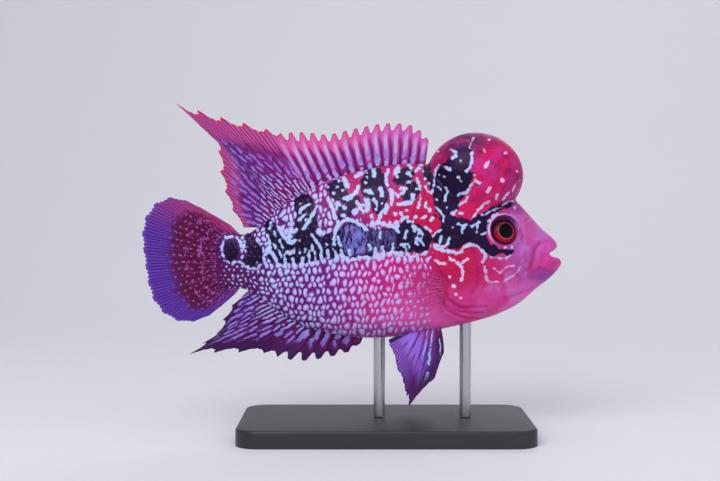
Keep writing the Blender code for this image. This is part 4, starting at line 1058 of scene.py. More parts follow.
skinLook = {"blotch": (380.0, 4.0, 0.36, 0.68), "blotchTint": (0.55, 0.40, 0.62, 1.0), "blotchShare": 0.34,
            "speck": (2600.0, 3.0), "speckFrom": (0.4, 0.75), "upright": 0.35, "ragged": (800.0, 4.0),
            "raggedBy": 2.4, "blackEdge": (0.24, -0.24), "grey": (1500.0, 5.0, 0.36, 0.60),
            "orbit": (500.0, 3.0), "orbitBy": 0.5, "orbitEnd": (4.5, 4.0), "orbitLeast": 0.3, "highlightAt": 4.45,
            "highlightWide": (0.26, 0.08), "onBlack": 0.15, "toneCool": 0.3, "toneShift": -0.1,
            "pearlShare": 0.93, "wavy": (900.0, 3.0), "wavyBy": 1.4, "paleEdge": (0.15, -0.15),
            "paleShares": (0.9, 0.6), "roughness": 0.42, "roughSpeck": 0.16, "pearlRough": -0.08,
            "grain": (1300.0, 3.0), "grainHeight": 0.4, "speckHeight": 0.25, "pearlHeight": 0.9,
            "paleHeight": 0.3, "bump": (0.55, 0.00022)}
skinShine = {"Coat Weight": 0.05, "Coat Roughness": 0.12, "Specular IOR Level": 0.30,
             "Specular Tint": (0.84, 0.42, 1.0, 1.0)}


def makeSkinMaterial(pearlGroup):
    material, tree, shader = newMaterial("flowerhornSkin", **skinShine)
    place = addNode(tree, "ShaderNodeTexCoord").outputs["Object"]
    rows = addNode(tree, "ShaderNodeUVMap", uv_map="scaleRows").outputs["UV"]
    groundWithPaintedLight = attribute(tree, "groundWithPaintedLight", "Color")
    tones = {name: linear(*tone) for name, tone in skinTones.items()}

    def lay(under, name, share=1.0):
        layer = skinLayers[name]
        if "pattern" in layer:
            share = times(tree, patches(tree, place, *layer["pattern"]), share)
        return blendColour(tree, times(tree, share, layer["strength"]), under, linear(*layer["colour"]))

    # mottled ground, with a purplish bloom on the hump
    humpShare = attribute(tree, "humpShare")
    speck = noise(tree, place, *skinLook["speck"])
    mottled = blendColour(tree, 1.0, groundWithPaintedLight, skinLook["blotchTint"], "MULTIPLY")
    blotch = patches(tree, place, *skinLook["blotch"])
    colour = blendColour(tree, times(tree, blotch, skinLook["blotchShare"]), groundWithPaintedLight, mottled)
    colour = lay(colour, "bloom", humpShare)
    colour = lay(colour, "vein", humpShare)
    colour = lay(colour, "speck", ease(tree, speck, *skinLook["speckFrom"]))

    # the bare face, and painted shade in the folds of the head and along the gill cover's edge
    bare = attribute(tree, "bareShare")
    colour = lay(colour, "flush", bare)
    colour = lay(colour, "cloud", bare)
    colour = lay(colour, "creaseShade", attribute(tree, "creaseShade"))

    # the black patches, with ragged edges
    stretch = {"Vector": place, "Scale": (1.0, 1.0, skinLook["upright"])}
    upright = addNode(tree, "ShaderNodeMapping", stretch).outputs[0]
    ragged = noise(tree, upright, *skinLook["ragged"])
    black = ease(tree, shaken(tree, attribute(tree, "blackAway"), ragged, skinLook["raggedBy"]),
                 *skinLook["blackEdge"])
    grey = times(tree, attribute(tree, "greyShare"), patches(tree, upright, *skinLook["grey"]))
    blackTone = lay(blendColour(tree, grey, tones["black"], tones["grey"]), "sheen")
    colour = blendColour(tree, black, colour, blackTone)

    # the orbit: a dark violet ring, strongest on its upper hind side, with a painted highlight along its
    # upper outer rim
    uneven = noise(tree, place, *skinLook["orbit"])
    eyeAway = shaken(tree, attribute(tree, "eyeAway"), uneven, skinLook["orbitBy"])
    brow = attribute(tree, "browShare")
    violet = times(tree, ease(tree, eyeAway, *skinLook["orbitEnd"]),
                   blendValue(tree, brow, skinLook["orbitLeast"], 1.0))
    colour = lay(colour, "orbit", violet)
    offHighlight = calc(tree, "ABSOLUTE", calc(tree, "SUBTRACT", eyeAway, skinLook["highlightAt"]))
    colour = lay(colour, "arc", times(tree, ease(tree, offHighlight, *skinLook["highlightWide"]), brow))

    # rows of pearls, cooler and whiter on black
    size = times(tree, attribute(tree, "pearlSize"), blendValue(tree, black, 1.0, skinLook["onBlack"]))
    pearls = useGroup(tree, pearlGroup, {"Rows": rows, "Size": size})
    cool = calc(tree, "MAXIMUM", black, attribute(tree, "coolShare"))
    cool = calc(tree, "ADD", cool, calc(tree, "MULTIPLY_ADD", pearls["Tone"], skinLook["toneCool"],
                                        skinLook["toneShift"]))
    pearlTone = blendColour(tree, cool, tones["pearl"], tones["pearlCool"])
    pearlTone = lay(pearlTone, "pearlCentre", pearls["Dome"])
    colour = lay(colour, "line", times(tree, pearls["Line"], attribute(tree, "lineShare")))
    colour = blendColour(tree, times(tree, pearls["Pearl"], skinLook["pearlShare"]), colour, pearlTone)

    # the wavy pale strokes of the head and along the flower line
    wavy = noise(tree, place, *skinLook["wavy"])
    paleAway = shaken(tree, attribute(tree, "paleAway"), wavy, skinLook["wavyBy"])
    pale = ease(tree, paleAway, *skinLook["paleEdge"])
    paleTone = blendColour(tree, cool, tones["pale"], tones["paleCool"])
    strength = blendValue(tree, attribute(tree, "faintShare"), *skinLook["paleShares"])
    colour = blendColour(tree, times(tree, pale, strength), colour, paleTone)
    connect(tree, colour, shader.inputs["Base Color"])

    shine = shaken(tree, skinLook["roughness"], speck, skinLook["roughSpeck"])
    shine = calc(tree, "MULTIPLY_ADD", pearls["Pearl"], skinLook["pearlRough"], shine)
    connect(tree, shine, shader.inputs["Roughness"])

    raised = times(tree, noise(tree, place, *skinLook["grain"]), skinLook["grainHeight"])
    raised = calc(tree, "MULTIPLY_ADD", speck, skinLook["speckHeight"], raised)
    raised = calc(tree, "MULTIPLY_ADD", pearls["Dome"], skinLook["pearlHeight"], raised)
    raised = calc(tree, "MULTIPLY_ADD", pale, skinLook["paleHeight"], raised)
    connect(tree, bump(tree, raised, *skinLook["bump"]), shader.inputs["Normal"])
    return material


# Fins: every fin is a grid with its rays raised in it; a ray's root and tip are in mm, as in the solids

dorsal = {"line": "back", "base": (19.3, -22.8), "sink": -1.2, "spinesEnd": -10.2, "gap": 1.1, "spines": 15,
          "outerRays": 5, "outerRoots": (0.0, 0.36), "hindRays": 7, "hindRoots": (0.45, 1.0),
          "spineTips": [(20.3, 77.3), (17.4, 80.3), (9.8, 81.6), (1.0, 80.2), (-6.6, 78.6), (-11.0, 79.2),
                        (-18.3, 79.1)],
          "outer": [(-22.2, 80.3), (-29.6, 82.3), (-36.0, 84.0), (-46.2, 87.2)],
          "hind": [(-41.0, 82.6), (-35.4, 78.0), (-34.8, 71.5), (-33.6, 65.6), (-31.6, 59.8),
                   (-28.2, 54.4)],
          "wave": 0.5, "notch": 0.16, "softRows": 1.6}
anal = {"line": "belly", "base": (3.6, -26.0), "sink": 1.2, "spinesEnd": -11.0, "gap": 1.5, "spines": 7,
        "outerRays": 4, "outerRoots": (0.0, 0.38), "hindRays": 5, "hindRoots": (0.5, 1.0),
        "spineTips": [(2.5, 24.0), (-0.8, 21.6), (-5.5, 20.4), (-12.5, 19.4), (-19.4, 20.2)],
        "outer": [(-23.0, 21.2), (-29.5, 21.5), (-36.0, 21.3), (-43.0, 20.8)],
        "hind": [(-39.6, 23.6), (-34.6, 27.4), (-33.2, 31.6), (-30.6, 34.6), (-27.9, 36.9)],
        "wave": -0.5, "notch": 0.24, "softRows": 1.6}
tail = {"root": -30.9, "rootReach": 2.0, "rootDrops": (0.4, 0.8, 2.4), "rays": 18, "wave": 0.6,
        "waveLength": 30.0, "notch": 0.035, "softRows": 1.6,
        "edge": [(-31.6, 55.1), (-37.0, 58.3), (-43.8, 61.7), (-49.0, 62.2), (-52.6, 59.6), (-54.8, 54.5),
                 (-54.7, 49.5), (-54.1, 44.5), (-53.4, 39.6), (-51.6, 34.4), (-48.2, 30.9), (-43.6, 29.4),
                 (-38.4, 30.6), (-33.0, 34.6), (-30.4, 36.9)]}
pelvic = {"root": [(23.0, 29.6), (17.6, 29.4)], "out": 3.6, "splay": 12.0, "notch": 0.10, "bow": 0.04,
          "tips": [(24.1, 22.0), (21.6, 15.2), (14.8, 8.0), (13.9, 12.0), (12.0, 17.4), (9.8, 24.2)]}
pectoral = {"rays": 11, "place": (24.0, 39.2), "sink": 0.4, "rootHeight": 5.4, "rootBow": 0.5,
            "flare": 38.0, "notch": 0.05, "wave": 0.4,
            "edge": [(-9.5, 7.2), (-13.6, 5.6), (-15.4, 2.0), (-14.6, -2.6), (-11.6, -6.0), (-7.2, -6.8)]}
finSheet = {"membrane": 0.11, "ray": 0.46, "rayTip": 0.14, "perRay": 12, "rootSteps": 12, "rows": 60,
            "waveLength": 18.0, "swayReach": 8.0, "lappet": (0.22, 0.80), "lappetEnd": (1.0, 0.90),
            "scallop": 0.55, "roundness": 0.7, "softFrom": 2.0, "ragged": 0.010, "teeth": 4, "thinFrom": 0.93,
            "thinBy": 0.75}
rayRidges = {"ray": 0.10, "pair": 0.075, "pairFrom": (0.25, 0.45), "pairSpread": (0.28, 0.62), "fine": 0.05,
             "fineFrom": (0.62, 0.82)}


def spreadRays(root, edge, count, rootEnds=(0.0, 1.0)):
    shares = np.linspace(0.0, 1.0, count)
    return curveAt(root, rootEnds[0] + (rootEnds[1] - rootEnds[0]) * shares), curveAt(edge, shares)


def edgeOfBody(sizes, xFrom, xTo):
    # the line on the back or belly where a fin is rooted, sunk a little into the body
    xs = np.linspace(xFrom, xTo, finSheet["rootSteps"])
    return np.column_stack([xs, profileAt(body[sizes["line"]], xs) + sizes["sink"]])


def branchRidges(rayPlace, wayOut, spines):
    # height of the rays at a place on a fin: one ridge that parts in two and then in four
    off = np.abs(rayPlace - np.round(rayPlace))
    whole = ridge(off, rayRidges["ray"])
    pair = ridge(off - 0.25 * smoothStep(*rayRidges["pairSpread"], wayOut), rayRidges["pair"])
    fine = ridge(np.minimum(np.abs(off - 0.125), np.abs(off - 0.375)), rayRidges["fine"])
    soft = whole + (pair - whole) * smoothStep(*rayRidges["pairFrom"], wayOut)
    soft += (fine - soft) * smoothStep(*rayRidges["fineFrom"], wayOut)
    return np.where(rayPlace <= spines - 0.5, whole, soft)


def makeFin(name, roots, tips, sizes, spines=0, place=None):
    count = len(roots)
    edgeWay = sizes.get("waveLength", finSheet["waveLength"])
    held = {}

    def shape(u, v):
        rayPlace = u * (count - 1)
        i = np.minimum(rayPlace.astype(int), count - 2)
        part = (rayPlace - i)[:, None]
        between = part[:, 0]
        lappet = smoothStep(*finSheet["lappet"], between) * smoothStep(*finSheet["lappetEnd"], between)
        scallop = finSheet["scallop"] * np.sin(math.pi * between) ** finSheet["roundness"]
        soft = smoothStep(spines - finSheet["softFrom"], spines, rayPlace)
        notch = sizes["notch"] * (lappet + (scallop - lappet) * soft)
        ragged = finSheet["ragged"] * np.cos(2 * math.pi * finSheet["teeth"] * rayPlace) * soft
        run = v * (1.0 - notch - ragged)

        def onRay(k):
            span = tips[k] - roots[k]
            sideways = np.column_stack([-span[:, 1], span[:, 0]])
            bowed = sizes.get("bow", 0.0) * 4 * run * (1 - run)
            return roots[k] + span * run[:, None] + sideways * bowed[:, None]
        flat = onRay(i) * (1 - part) + onRay(i + 1) * part
        base = roots[i] * (1 - part) + roots[i + 1] * part
        away = np.hypot(*(flat - base).T)
        sway = (sizes.get("wave", 0.0) * np.minimum(away / finSheet["swayReach"], 1.0)
                * np.sin(2 * math.pi * flat[:, 0] / edgeWay))
        held["rayPlace"], held["wayOut"] = rayPlace, v
        return np.column_stack([flat[:, 0], sway, flat[:, 1]])

    fin = shapedGrid(name, (count - 1) * finSheet["perRay"], finSheet["rows"], shape)
    rayPlace, wayOut = held["rayPlace"], held["wayOut"]
    setUv(fin, "rayMap", rayPlace, wayOut)
    lengths = np.interp(rayPlace, np.arange(count), np.hypot(*(tips - roots).T))
    rows = rayPlace + (sizes.get("softRows", 1.0) - 1.0) * np.maximum(rayPlace - spines + 1.0, 0.0)
    setUv(fin, "spotMap", rows, wayOut * lengths)
    ray = finSheet["ray"] + (finSheet["rayTip"] - finSheet["ray"]) * wayOut
    membrane = finSheet["membrane"]
    half = membrane + (ray - membrane) * branchRidges(rayPlace, wayOut, spines)
    half *= 1.0 - smoothStep(finSheet["thinFrom"], 1.0, wayOut) * finSheet["thinBy"]
    group = fin.vertex_groups.new(name="thickness")
    shares = half / finSheet["ray"]
    for index, share in enumerate(shares):
        group.add([index], float(share), "REPLACE")
    if place is not None:
        local = np.column_stack([pointsOf(fin) / mm, np.ones(len(shares))])
        setPoints(fin, (local @ np.array(place).T)[:, :3] * mm)
    applyModifier(fin, "SOLIDIFY", thickness=2 * finSheet["ray"] * mm, offset=0.0, vertex_group="thickness")
    selectOnly(fin)
    bpy.ops.object.shade_smooth()
    editAll(fin)
    bpy.ops.mesh.normals_make_consistent(inside=False)
    leaveEdit()
    return fin


def makeLongFin(name, sizes):
    # the dorsal or anal fin: spines, soft rays that end on the outer edge, and rays that end on the hind edge
    spines, (front, hind) = sizes["spines"], sizes["base"]
    spiny = spreadRays(edgeOfBody(sizes, front, sizes["spinesEnd"]), sizes["spineTips"], spines)
    soft = edgeOfBody(sizes, sizes["spinesEnd"] - sizes["gap"], hind)
    outer = spreadRays(soft, sizes["outer"], sizes["outerRays"], sizes["outerRoots"])
    last = spreadRays(soft, sizes["hind"], sizes["hindRays"], sizes["hindRoots"])
    roots, tips = (np.vstack(parts) for parts in zip(spiny, outer, last))
    return makeFin(name, roots, tips, sizes, spines=spines)


def makeTailFin():
    x, reach = tail["root"], tail["rootReach"]
    back, belly = float(profileAt(body["back"], x)), float(profileAt(body["belly"], x))
    low, middle, high = tail["rootDrops"]
    root = np.array([(x + reach, back - low), (x, back - middle), (x, back - high), (x, (back + belly) / 2),
                     (x, belly + high), (x, belly + middle), (x + reach, belly + low)])
    knots = np.concatenate([[0.0], np.cumsum(np.linalg.norm(np.diff(root, axis=0), axis=1))])
    shares = np.linspace(0.0, 1.0, tail["rays"])
    roots = np.column_stack([np.interp(shares * knots[-1], knots, root[:, k]) for k in (0, 1)])
    return makeFin("tailFin", roots, curveAt(tail["edge"], shares), tail)


def makePelvicFin(name, side):
    rootZ = pelvic["root"][0][1]
    place = (Matrix.Translation((0.0, side * pelvic["out"], rootZ))
             @ Matrix.Rotation(math.radians(side * pelvic["splay"]), 4, "X")
             @ Matrix.Translation((0.0, 0.0, -rootZ)))
    roots = curveAt(pelvic["root"], np.linspace(0.0, 1.0, len(pelvic["tips"])))
    return makeFin(name, roots, np.array(pelvic["tips"]), pelvic, place=place)


def makePectoralFin(name, side):
    x, z = pectoral["place"]
    place = (Matrix.Translation((x, side * (float(sideY(x, z)) - pectoral["sink"]), z))
             @ Matrix.Rotation(math.radians(-side * pectoral["flare"]), 4, "Z"))
    half = pectoral["rootHeight"] / 2
    root = [(0.0, half), (pectoral["rootBow"], 0.0), (0.0, -half)]
    sizes = dict(pectoral, wave=pectoral["wave"] * side)
    return makeFin(name, *spreadRays(root, pectoral["edge"], pectoral["rays"]), sizes, place=place)


rayLines = {"ray": 0.17, "streak": 0.30, "pair": 0.26, "fine": 0.36, "core": 0.35, "fineFrom": (0.55, 0.8)}
spotForm = {"wavyScale": 0.45, "wavy": 0.9, "rowShift": 0.59, "stagger": 0.43, "wanderScale": 0.6,
            "wander": 1.2, "randomness": 0.18, "least": 0.8, "spread": 0.4, "bluntness": 4.0,
            "edge": (1.2, 0.7)}


def makeFinGroup():
    # rays, their finer branches, the streaks between them and rows of long spots
    group, given, result = newGroup(
        "finRays", {"Map": "Vector", "Rows": "Vector", "Spots": "Float", "Spot Width": "Float",
                    "Spot Length": "Float", "Branches": "Float"},
        {"Ray": "Float", "Branch": "Float", "Streak": "Float", "Spot": "Float"})
    parts = addNode(group, "ShaderNodeSeparateXYZ", {0: given["Map"]}).outputs
    rows = addNode(group, "ShaderNodeSeparateXYZ", {0: given["Rows"]}).outputs

    def linesAt(perRay, wide, start=0.5):
        wrapped = calc(group, "FRACT", calc(group, "MULTIPLY_ADD", parts["X"], perRay, start))
        off = calc(group, "ABSOLUTE", calc(group, "SUBTRACT", wrapped, 0.5))
        return ease(group, off, wide, wide * rayLines["core"])
    connect(group, linesAt(1.0, rayLines["ray"]), result["Ray"])
    connect(group, linesAt(1.0, rayLines["streak"], 0.0), result["Streak"])
    shareFine = ease(group, parts["Y"], *rayLines["fineFrom"])
    connect(group, blendValue(group, shareFine, linesAt(2.0, rayLines["pair"]),
                              linesAt(given["Branches"], rayLines["fine"])), result["Branch"])
    wavy = noise(group, given["Rows"], spotForm["wavyScale"])
    across = shaken(group, calc(group, "ADD", rows["X"], spotForm["rowShift"]), wavy, spotForm["wavy"])
    stagger = times(group, calc(group, "ROUND", across), spotForm["stagger"])
    wander = times(group, noise(group, given["Rows"], spotForm["wanderScale"]), spotForm["wander"])
    along = calc(group, "ADD", calc(group, "MULTIPLY_ADD", rows["Y"], given["Spots"], stagger), wander)
    awayX, awayY, tone = cells(group, across, along, spotForm["randomness"])
    longer = times(group, given["Spot Length"],
                   calc(group, "MULTIPLY_ADD", tone, spotForm["spread"], spotForm["least"]))
    overWidth = calc(group, "DIVIDE", awayX, given["Spot Width"])
    overLength = calc(group, "ABSOLUTE", calc(group, "DIVIDE", awayY, longer))
    blunt = calc(group, "POWER", overLength, spotForm["bluntness"])
    reach = calc(group, "SQRT", calc(group, "ADD", times(group, overWidth, overWidth), blunt))
    connect(group, ease(group, reach, *spotForm["edge"]), result["Spot"])
    return group


finLooks = {
    "dorsal": {"root": (132, 18, 100), "middle": (150, 40, 130), "edge": (222, 90, 172), "ray": (84, 8, 76),
               "front": (168, 62, 150), "frontEnd": (0.10, 0.42), "hind": (104, 30, 112),
               "hindStart": (0.5, 0.75), "spot": (140, 112, 214), "spotRoot": (178, 190, 255),
               "spots": 0.27, "spotWidth": 0.25, "spotLength": 0.40, "spotEnd": (0.50, 0.84),
               "spotEndFrom": (0.54, 0.86), "streak": (222, 184, 246), "streakEnds": (0.22, 0.95, 0.75),
               "rim": (206, 6, 58), "rimStart": 0.955, "edgeFront": (214, 92, 190),
               "edgeFrontEnd": (0.1, 0.35), "edgeHind": (204, 82, 160), "alpha": (1.0, 0.86), "spines": 15,
               "rays": 27, "branches": 4.0},
    "anal": {"root": (96, 14, 88), "middle": (84, 18, 88), "edge": (64, 22, 84), "ray": (48, 2, 54),
             "front": (112, 24, 104), "frontEnd": (0.05, 0.4), "hind": (84, 34, 120),
             "hindStart": (0.7, 1.0), "spot": (142, 126, 222), "spotRoot": (176, 184, 250), "spots": 0.21,
             "spotWidth": 0.26, "spotLength": 0.42, "spotEnd": (0.62, 0.94), "spotEndFrom": (0.45, 0.85),
             "rim": (44, 14, 64), "rimStart": 0.95, "edgeFront": (66, 16, 74), "edgeFrontEnd": (0.0, 0.3),
             "alpha": (1.0, 0.94), "spines": 7, "rays": 16, "branches": 4.0},
    "tail": {"root": (96, 16, 88), "middle": (88, 0, 50), "edge": (88, 50, 188), "ray": (66, 4, 56),
             "front": (196, 56, 130), "frontEnd": (0.02, 0.26), "hind": (100, 38, 146),
             "hindStart": (0.74, 0.92), "spot": (160, 88, 172), "spots": 0.60, "spotWidth": 0.14,
             "spotLength": 0.18, "spotEnd": (0.72,), "streak": (168, 120, 214),
             "streakEnds": (-0.1, 0.30, 0.5), "net": 0.65, "rim": (104, 62, 180), "rimStart": 0.95,
             "edgeFront": (200, 66, 138), "edgeFrontEnd": (0.14, 0.42), "alpha": (1.0, 0.82), "spines": 0,
             "rays": 18, "branches": 5.0},
    "pelvic": {"root": (190, 72, 160), "middle": (142, 94, 212), "edge": (88, 38, 124),
               "ray": (84, 26, 112), "front": (66, 14, 74), "frontEnd": (0.12, 0.58),
               "hind": (156, 116, 230), "hindStart": (0.5, 0.9), "spot": (150, 204, 255), "spots": 0.17,
               "spotWidth": 0.11, "spotLength": 0.36, "spotEnd": (0.80, 0.05), "spotEndFrom": (0.35, 0.70),
               "rim": (70, 30, 104), "rimStart": 0.97, "edgeFront": (24, 2, 34),
               "edgeFrontEnd": (0.25, 0.80), "edgeHind": (146, 104, 214), "alpha": (0.98, 0.86),
               "spines": 0, "rays": 6, "branches": 8.0},
    "pectoral": {"root": (214, 50, 140), "middle": (222, 80, 164), "edge": (224, 110, 186),
                 "ray": (190, 40, 130), "front": (214, 70, 156), "frontEnd": (0.0, 0.4),
                 "hind": (214, 70, 156), "hindStart": (0.6, 1.0), "spot": (224, 150, 214), "spots": 0.2,
                 "spotWidth": 0.2, "spotLength": 0.3, "spotEnd": (0.3,), "rim": (224, 110, 186),
                 "rimStart": 0.95, "edgeFront": (224, 110, 186), "edgeFrontEnd": (0.0, 0.3),
                 "alpha": (0.26, 0.08), "lineAlpha": 0.25, "spines": 0, "rays": 11, "branches": 2.0},
}
finShine = {"Coat Weight": 0.04, "Coat Roughness": 0.15, "Specular IOR Level": 0.28,
            "Specular Tint": (0.9, 0.42, 1.0, 1.0)}
finBlend = {"cloud": (260.0, 3.0), "wander": 0.16, "rootEnd": (0.02, 0.34), "edgeStart": (0.62, 0.80),
            "softFrom": (-1.0, 0.5), "spotFade": (0.10, -0.12), "streakStart": 0.2, "streakStop": -0.25,
            "rayFade": (0.75, 0.4), "rayLeast": 0.2, "ray": 0.85, "fineFrom": (0.45, 0.65), "fine": 0.8,
            "spotRootEnd": (0.45, 0.05), "spot": 0.9, "clearFrom": (0.3, 0.9), "lineAlpha": 0.7,
            "grain": (1500.0, 3.0), "roughness": 0.34, "grainRough": 0.2, "lineHeight": 0.6,
            "grainHeight": 0.3, "bump": (0.4, 0.00015)}
finNet = {"bendNoise": (0.8, 1.0), "bend": 0.9, "lines": 6.0, "line": (0.13, 0.05), "end": (0.62, 0.50),
          "gaps": (420.0, 1.0, 0.42, 0.56)}
finToneNames = ("root", "middle", "edge", "ray", "front", "hind", "spot", "spotRoot", "streak", "rim",
                "edgeFront", "edgeHind")


def makeFinMaterial(name, finGroup):
    look = finLooks[name]
    material, tree, shader = newMaterial(name + "Fin", **finShine)
    uv = addNode(tree, "ShaderNodeUVMap", uv_map="rayMap").outputs["UV"]
    rows = addNode(tree, "ShaderNodeUVMap", uv_map="spotMap").outputs["UV"]
    place = addNode(tree, "ShaderNodeTexCoord").outputs["Object"]
    parts = addNode(tree, "ShaderNodeSeparateXYZ", {0: uv}).outputs
    along = parts["Y"]
    across = calc(tree, "DIVIDE", parts["X"], look["rays"] - 1.0)
    rays = useGroup(tree, finGroup, {
        "Map": uv, "Rows": rows, "Spots": look["spots"], "Spot Width": look["spotWidth"],
        "Spot Length": look["spotLength"], "Branches": look["branches"]})
    wandered = shaken(tree, along, noise(tree, place, *finBlend["cloud"]), finBlend["wander"])
    tones = {key: linear(*value) for key, value in look.items() if key in finToneNames}

    def lengthwise(front, frontEnd, middle, hind):
        # a colour from the fin's first ray to its last
        mixed = blendColour(tree, ease(tree, across, *look[frontEnd]), tones[front], tones[middle])
        if hind not in tones:
            return mixed
        return blendColour(tree, ease(tree, across, *look["hindStart"]), mixed, tones[hind])

    # the membrane's colour from root to edge
    middle = lengthwise("front", "frontEnd", "middle", "hind")
    edge = lengthwise("edgeFront", "edgeFrontEnd", "edge", "edgeHind")
    colour = blendColour(tree, ease(tree, wandered, *finBlend["rootEnd"]), tones["root"], middle)
    colour = blendColour(tree, ease(tree, wandered, *finBlend["edgeStart"]), colour, edge)
    softFrom, softTo = finBlend["softFrom"]
    soft = ease(tree, parts["X"], look["spines"] + softFrom, look["spines"] + softTo)
    if "streak" in look:
        first, last, strength = look["streakEnds"]
        onSpines = calc(tree, "SUBTRACT", 1.0, soft) if look["spines"] else 1.0
        streak = times(tree, rays["Streak"], onSpines, strength,
                       ease(tree, wandered, first, first + finBlend["streakStart"]),
                       ease(tree, wandered, last, last + finBlend["streakStop"]))
        colour = blendColour(tree, streak, colour, tones["streak"])

    # rays: one line each near the root, parting into finer ones on the soft part
    rayShare = blendValue(tree, ease(tree, along, *finBlend["rayFade"]), finBlend["rayLeast"], 1.0)
    rayShare = times(tree, rays["Ray"], rayShare, finBlend["ray"])
    fineShare = times(tree, rays["Branch"], soft, ease(tree, along, *finBlend["fineFrom"]), finBlend["fine"])
    lines = calc(tree, "MAXIMUM", rayShare, fineShare)
    colour = blendColour(tree, lines, colour, tones["ray"])

    # rows of spots, and wavy cross lines that join them
    spotEnd = look["spotEnd"][0]
    if "spotEndFrom" in look:
        spotEnd = blendValue(tree, ease(tree, across, *look["spotEndFrom"]), *look["spotEnd"])
    fade = ease(tree, calc(tree, "SUBTRACT", wandered, spotEnd), *finBlend["spotFade"])
    spotTone = tones["spot"]
    if "spotRoot" in tones:
        nearRoot = ease(tree, along, *finBlend["spotRootEnd"])
        spotTone = blendColour(tree, nearRoot, tones["spot"], tones["spotRoot"])
    colour = blendColour(tree, times(tree, rays["Spot"], fade, finBlend["spot"]), colour, spotTone)
    if "net" in look:
        bent = times(tree, noise(tree, rows, *finNet["bendNoise"]), finNet["bend"])
        crossed = calc(tree, "FRACT", calc(tree, "MULTIPLY_ADD", wandered, finNet["lines"], bent))
        offLine = calc(tree, "ABSOLUTE", calc(tree, "SUBTRACT", crossed, 0.5))
        net = times(tree, ease(tree, offLine, *finNet["line"]), ease(tree, wandered, *finNet["end"]),
                    patches(tree, place, *finNet["gaps"]), look["net"])
        colour = blendColour(tree, net, colour, tones["spot"])
    colour = blendColour(tree, ease(tree, along, look["rimStart"], 1.0), colour, tones["rim"])
    connect(tree, colour, shader.inputs["Base Color"])

    clear = blendValue(tree, ease(tree, along, *finBlend["clearFrom"]), *look["alpha"])
    clear = blendValue(tree, times(tree, lines, look.get("lineAlpha", finBlend["lineAlpha"])), clear, 1.0)
    connect(tree, clear, shader.inputs["Alpha"])
    grain = noise(tree, place, *finBlend["grain"])
    rough = calc(tree, "MULTIPLY_ADD", grain, finBlend["grainRough"], finBlend["roughness"])
    connect(tree, rough, shader.inputs["Roughness"])
    height = times(tree, grain, finBlend["grainHeight"])
    height = calc(tree, "MULTIPLY_ADD", lines, finBlend["lineHeight"], height)
    connect(tree, bump(tree, height, *finBlend["bump"]), shader.inputs["Normal"])
    return material


# Eyes

def makeEye(name, side):
    bpy.ops.object.select_all(action="DESELECT")
    bpy.ops.mesh.primitive_uv_sphere_add(segments=eye["around"], ring_count=eye["rings"], radius=1.0)
    ball = bpy.context.object
    ball.name = name
    unit = pointsOf(ball)
    fromSight = np.hypot(unit[:, 0], unit[:, 1]) * eye["radius"]
    setAttribute(ball, "fromSight", fromSight + (unit[:, 2] < 0) * eye["behind"])
    place = skinFrame(*eye["centre"], side) @ Matrix.Translation((0.0, 0.0, eye["standsOut"] - eye["depth"]))
    local = np.column_stack([unit * (eye["radius"], eye["radius"], eye["depth"]), np.ones(len(unit))])
    setPoints(ball, (local @ np.array(place).T)[:, :3] * mm)
    overMiddle = pointsOf(ball)[:, 2] / mm - eye["centre"][1]
    setAttribute(ball, "upper", overMiddle / np.maximum(fromSight, eye["least"]))
    editAll(ball)
    bpy.ops.mesh.normals_make_consistent(inside=False)
    leaveEdit()
    bpy.ops.object.shade_smooth()
    return ball


eyeLook = {"pupil": (2, 1, 8), "pupilRadius": 1.76, "pupilBlur": 0.05, "ring": (212, 112, 106),
           # painted shadow: the iris's top is darker and its gold ring fainter there, as if shaded by the
           # orbit's upper rim
           "ringAt": 2.10, "ringWide": (0.11, 0.02), "ringLow": 0.95, "ringInShade": 0.50,
           "inner": (70, 2, 26), "innerBlur": -0.1, "irisLow": (156, 2, 42), "irisShadedTop": (36, 2, 30),
           "high": (-0.1, 0.9), "shadeFleck": 0.5, "fleck": (156, 6, 40), "fleckNoise": (1800.0, 4.0),
           "fleckFrom": (0.5, 0.72), "fleckShare": 0.35, "wobble": 0.16, "outer": (16, 3, 22),
           "irisEnd": (2.90, 3.25), "glint": (140, 152, 226), "glintAt": 3.42, "glintWide": (0.14, 0.04),
           "glintFrom": (0.45, 0.85), "glintShare": 0.8, "roughness": 0.28, "fleckRough": 0.12,
           "bump": (0.15, 0.0001)}
eyeShine = {"Coat Weight": 0.10, "Coat Roughness": 0.02, "Specular IOR Level": 0.05}


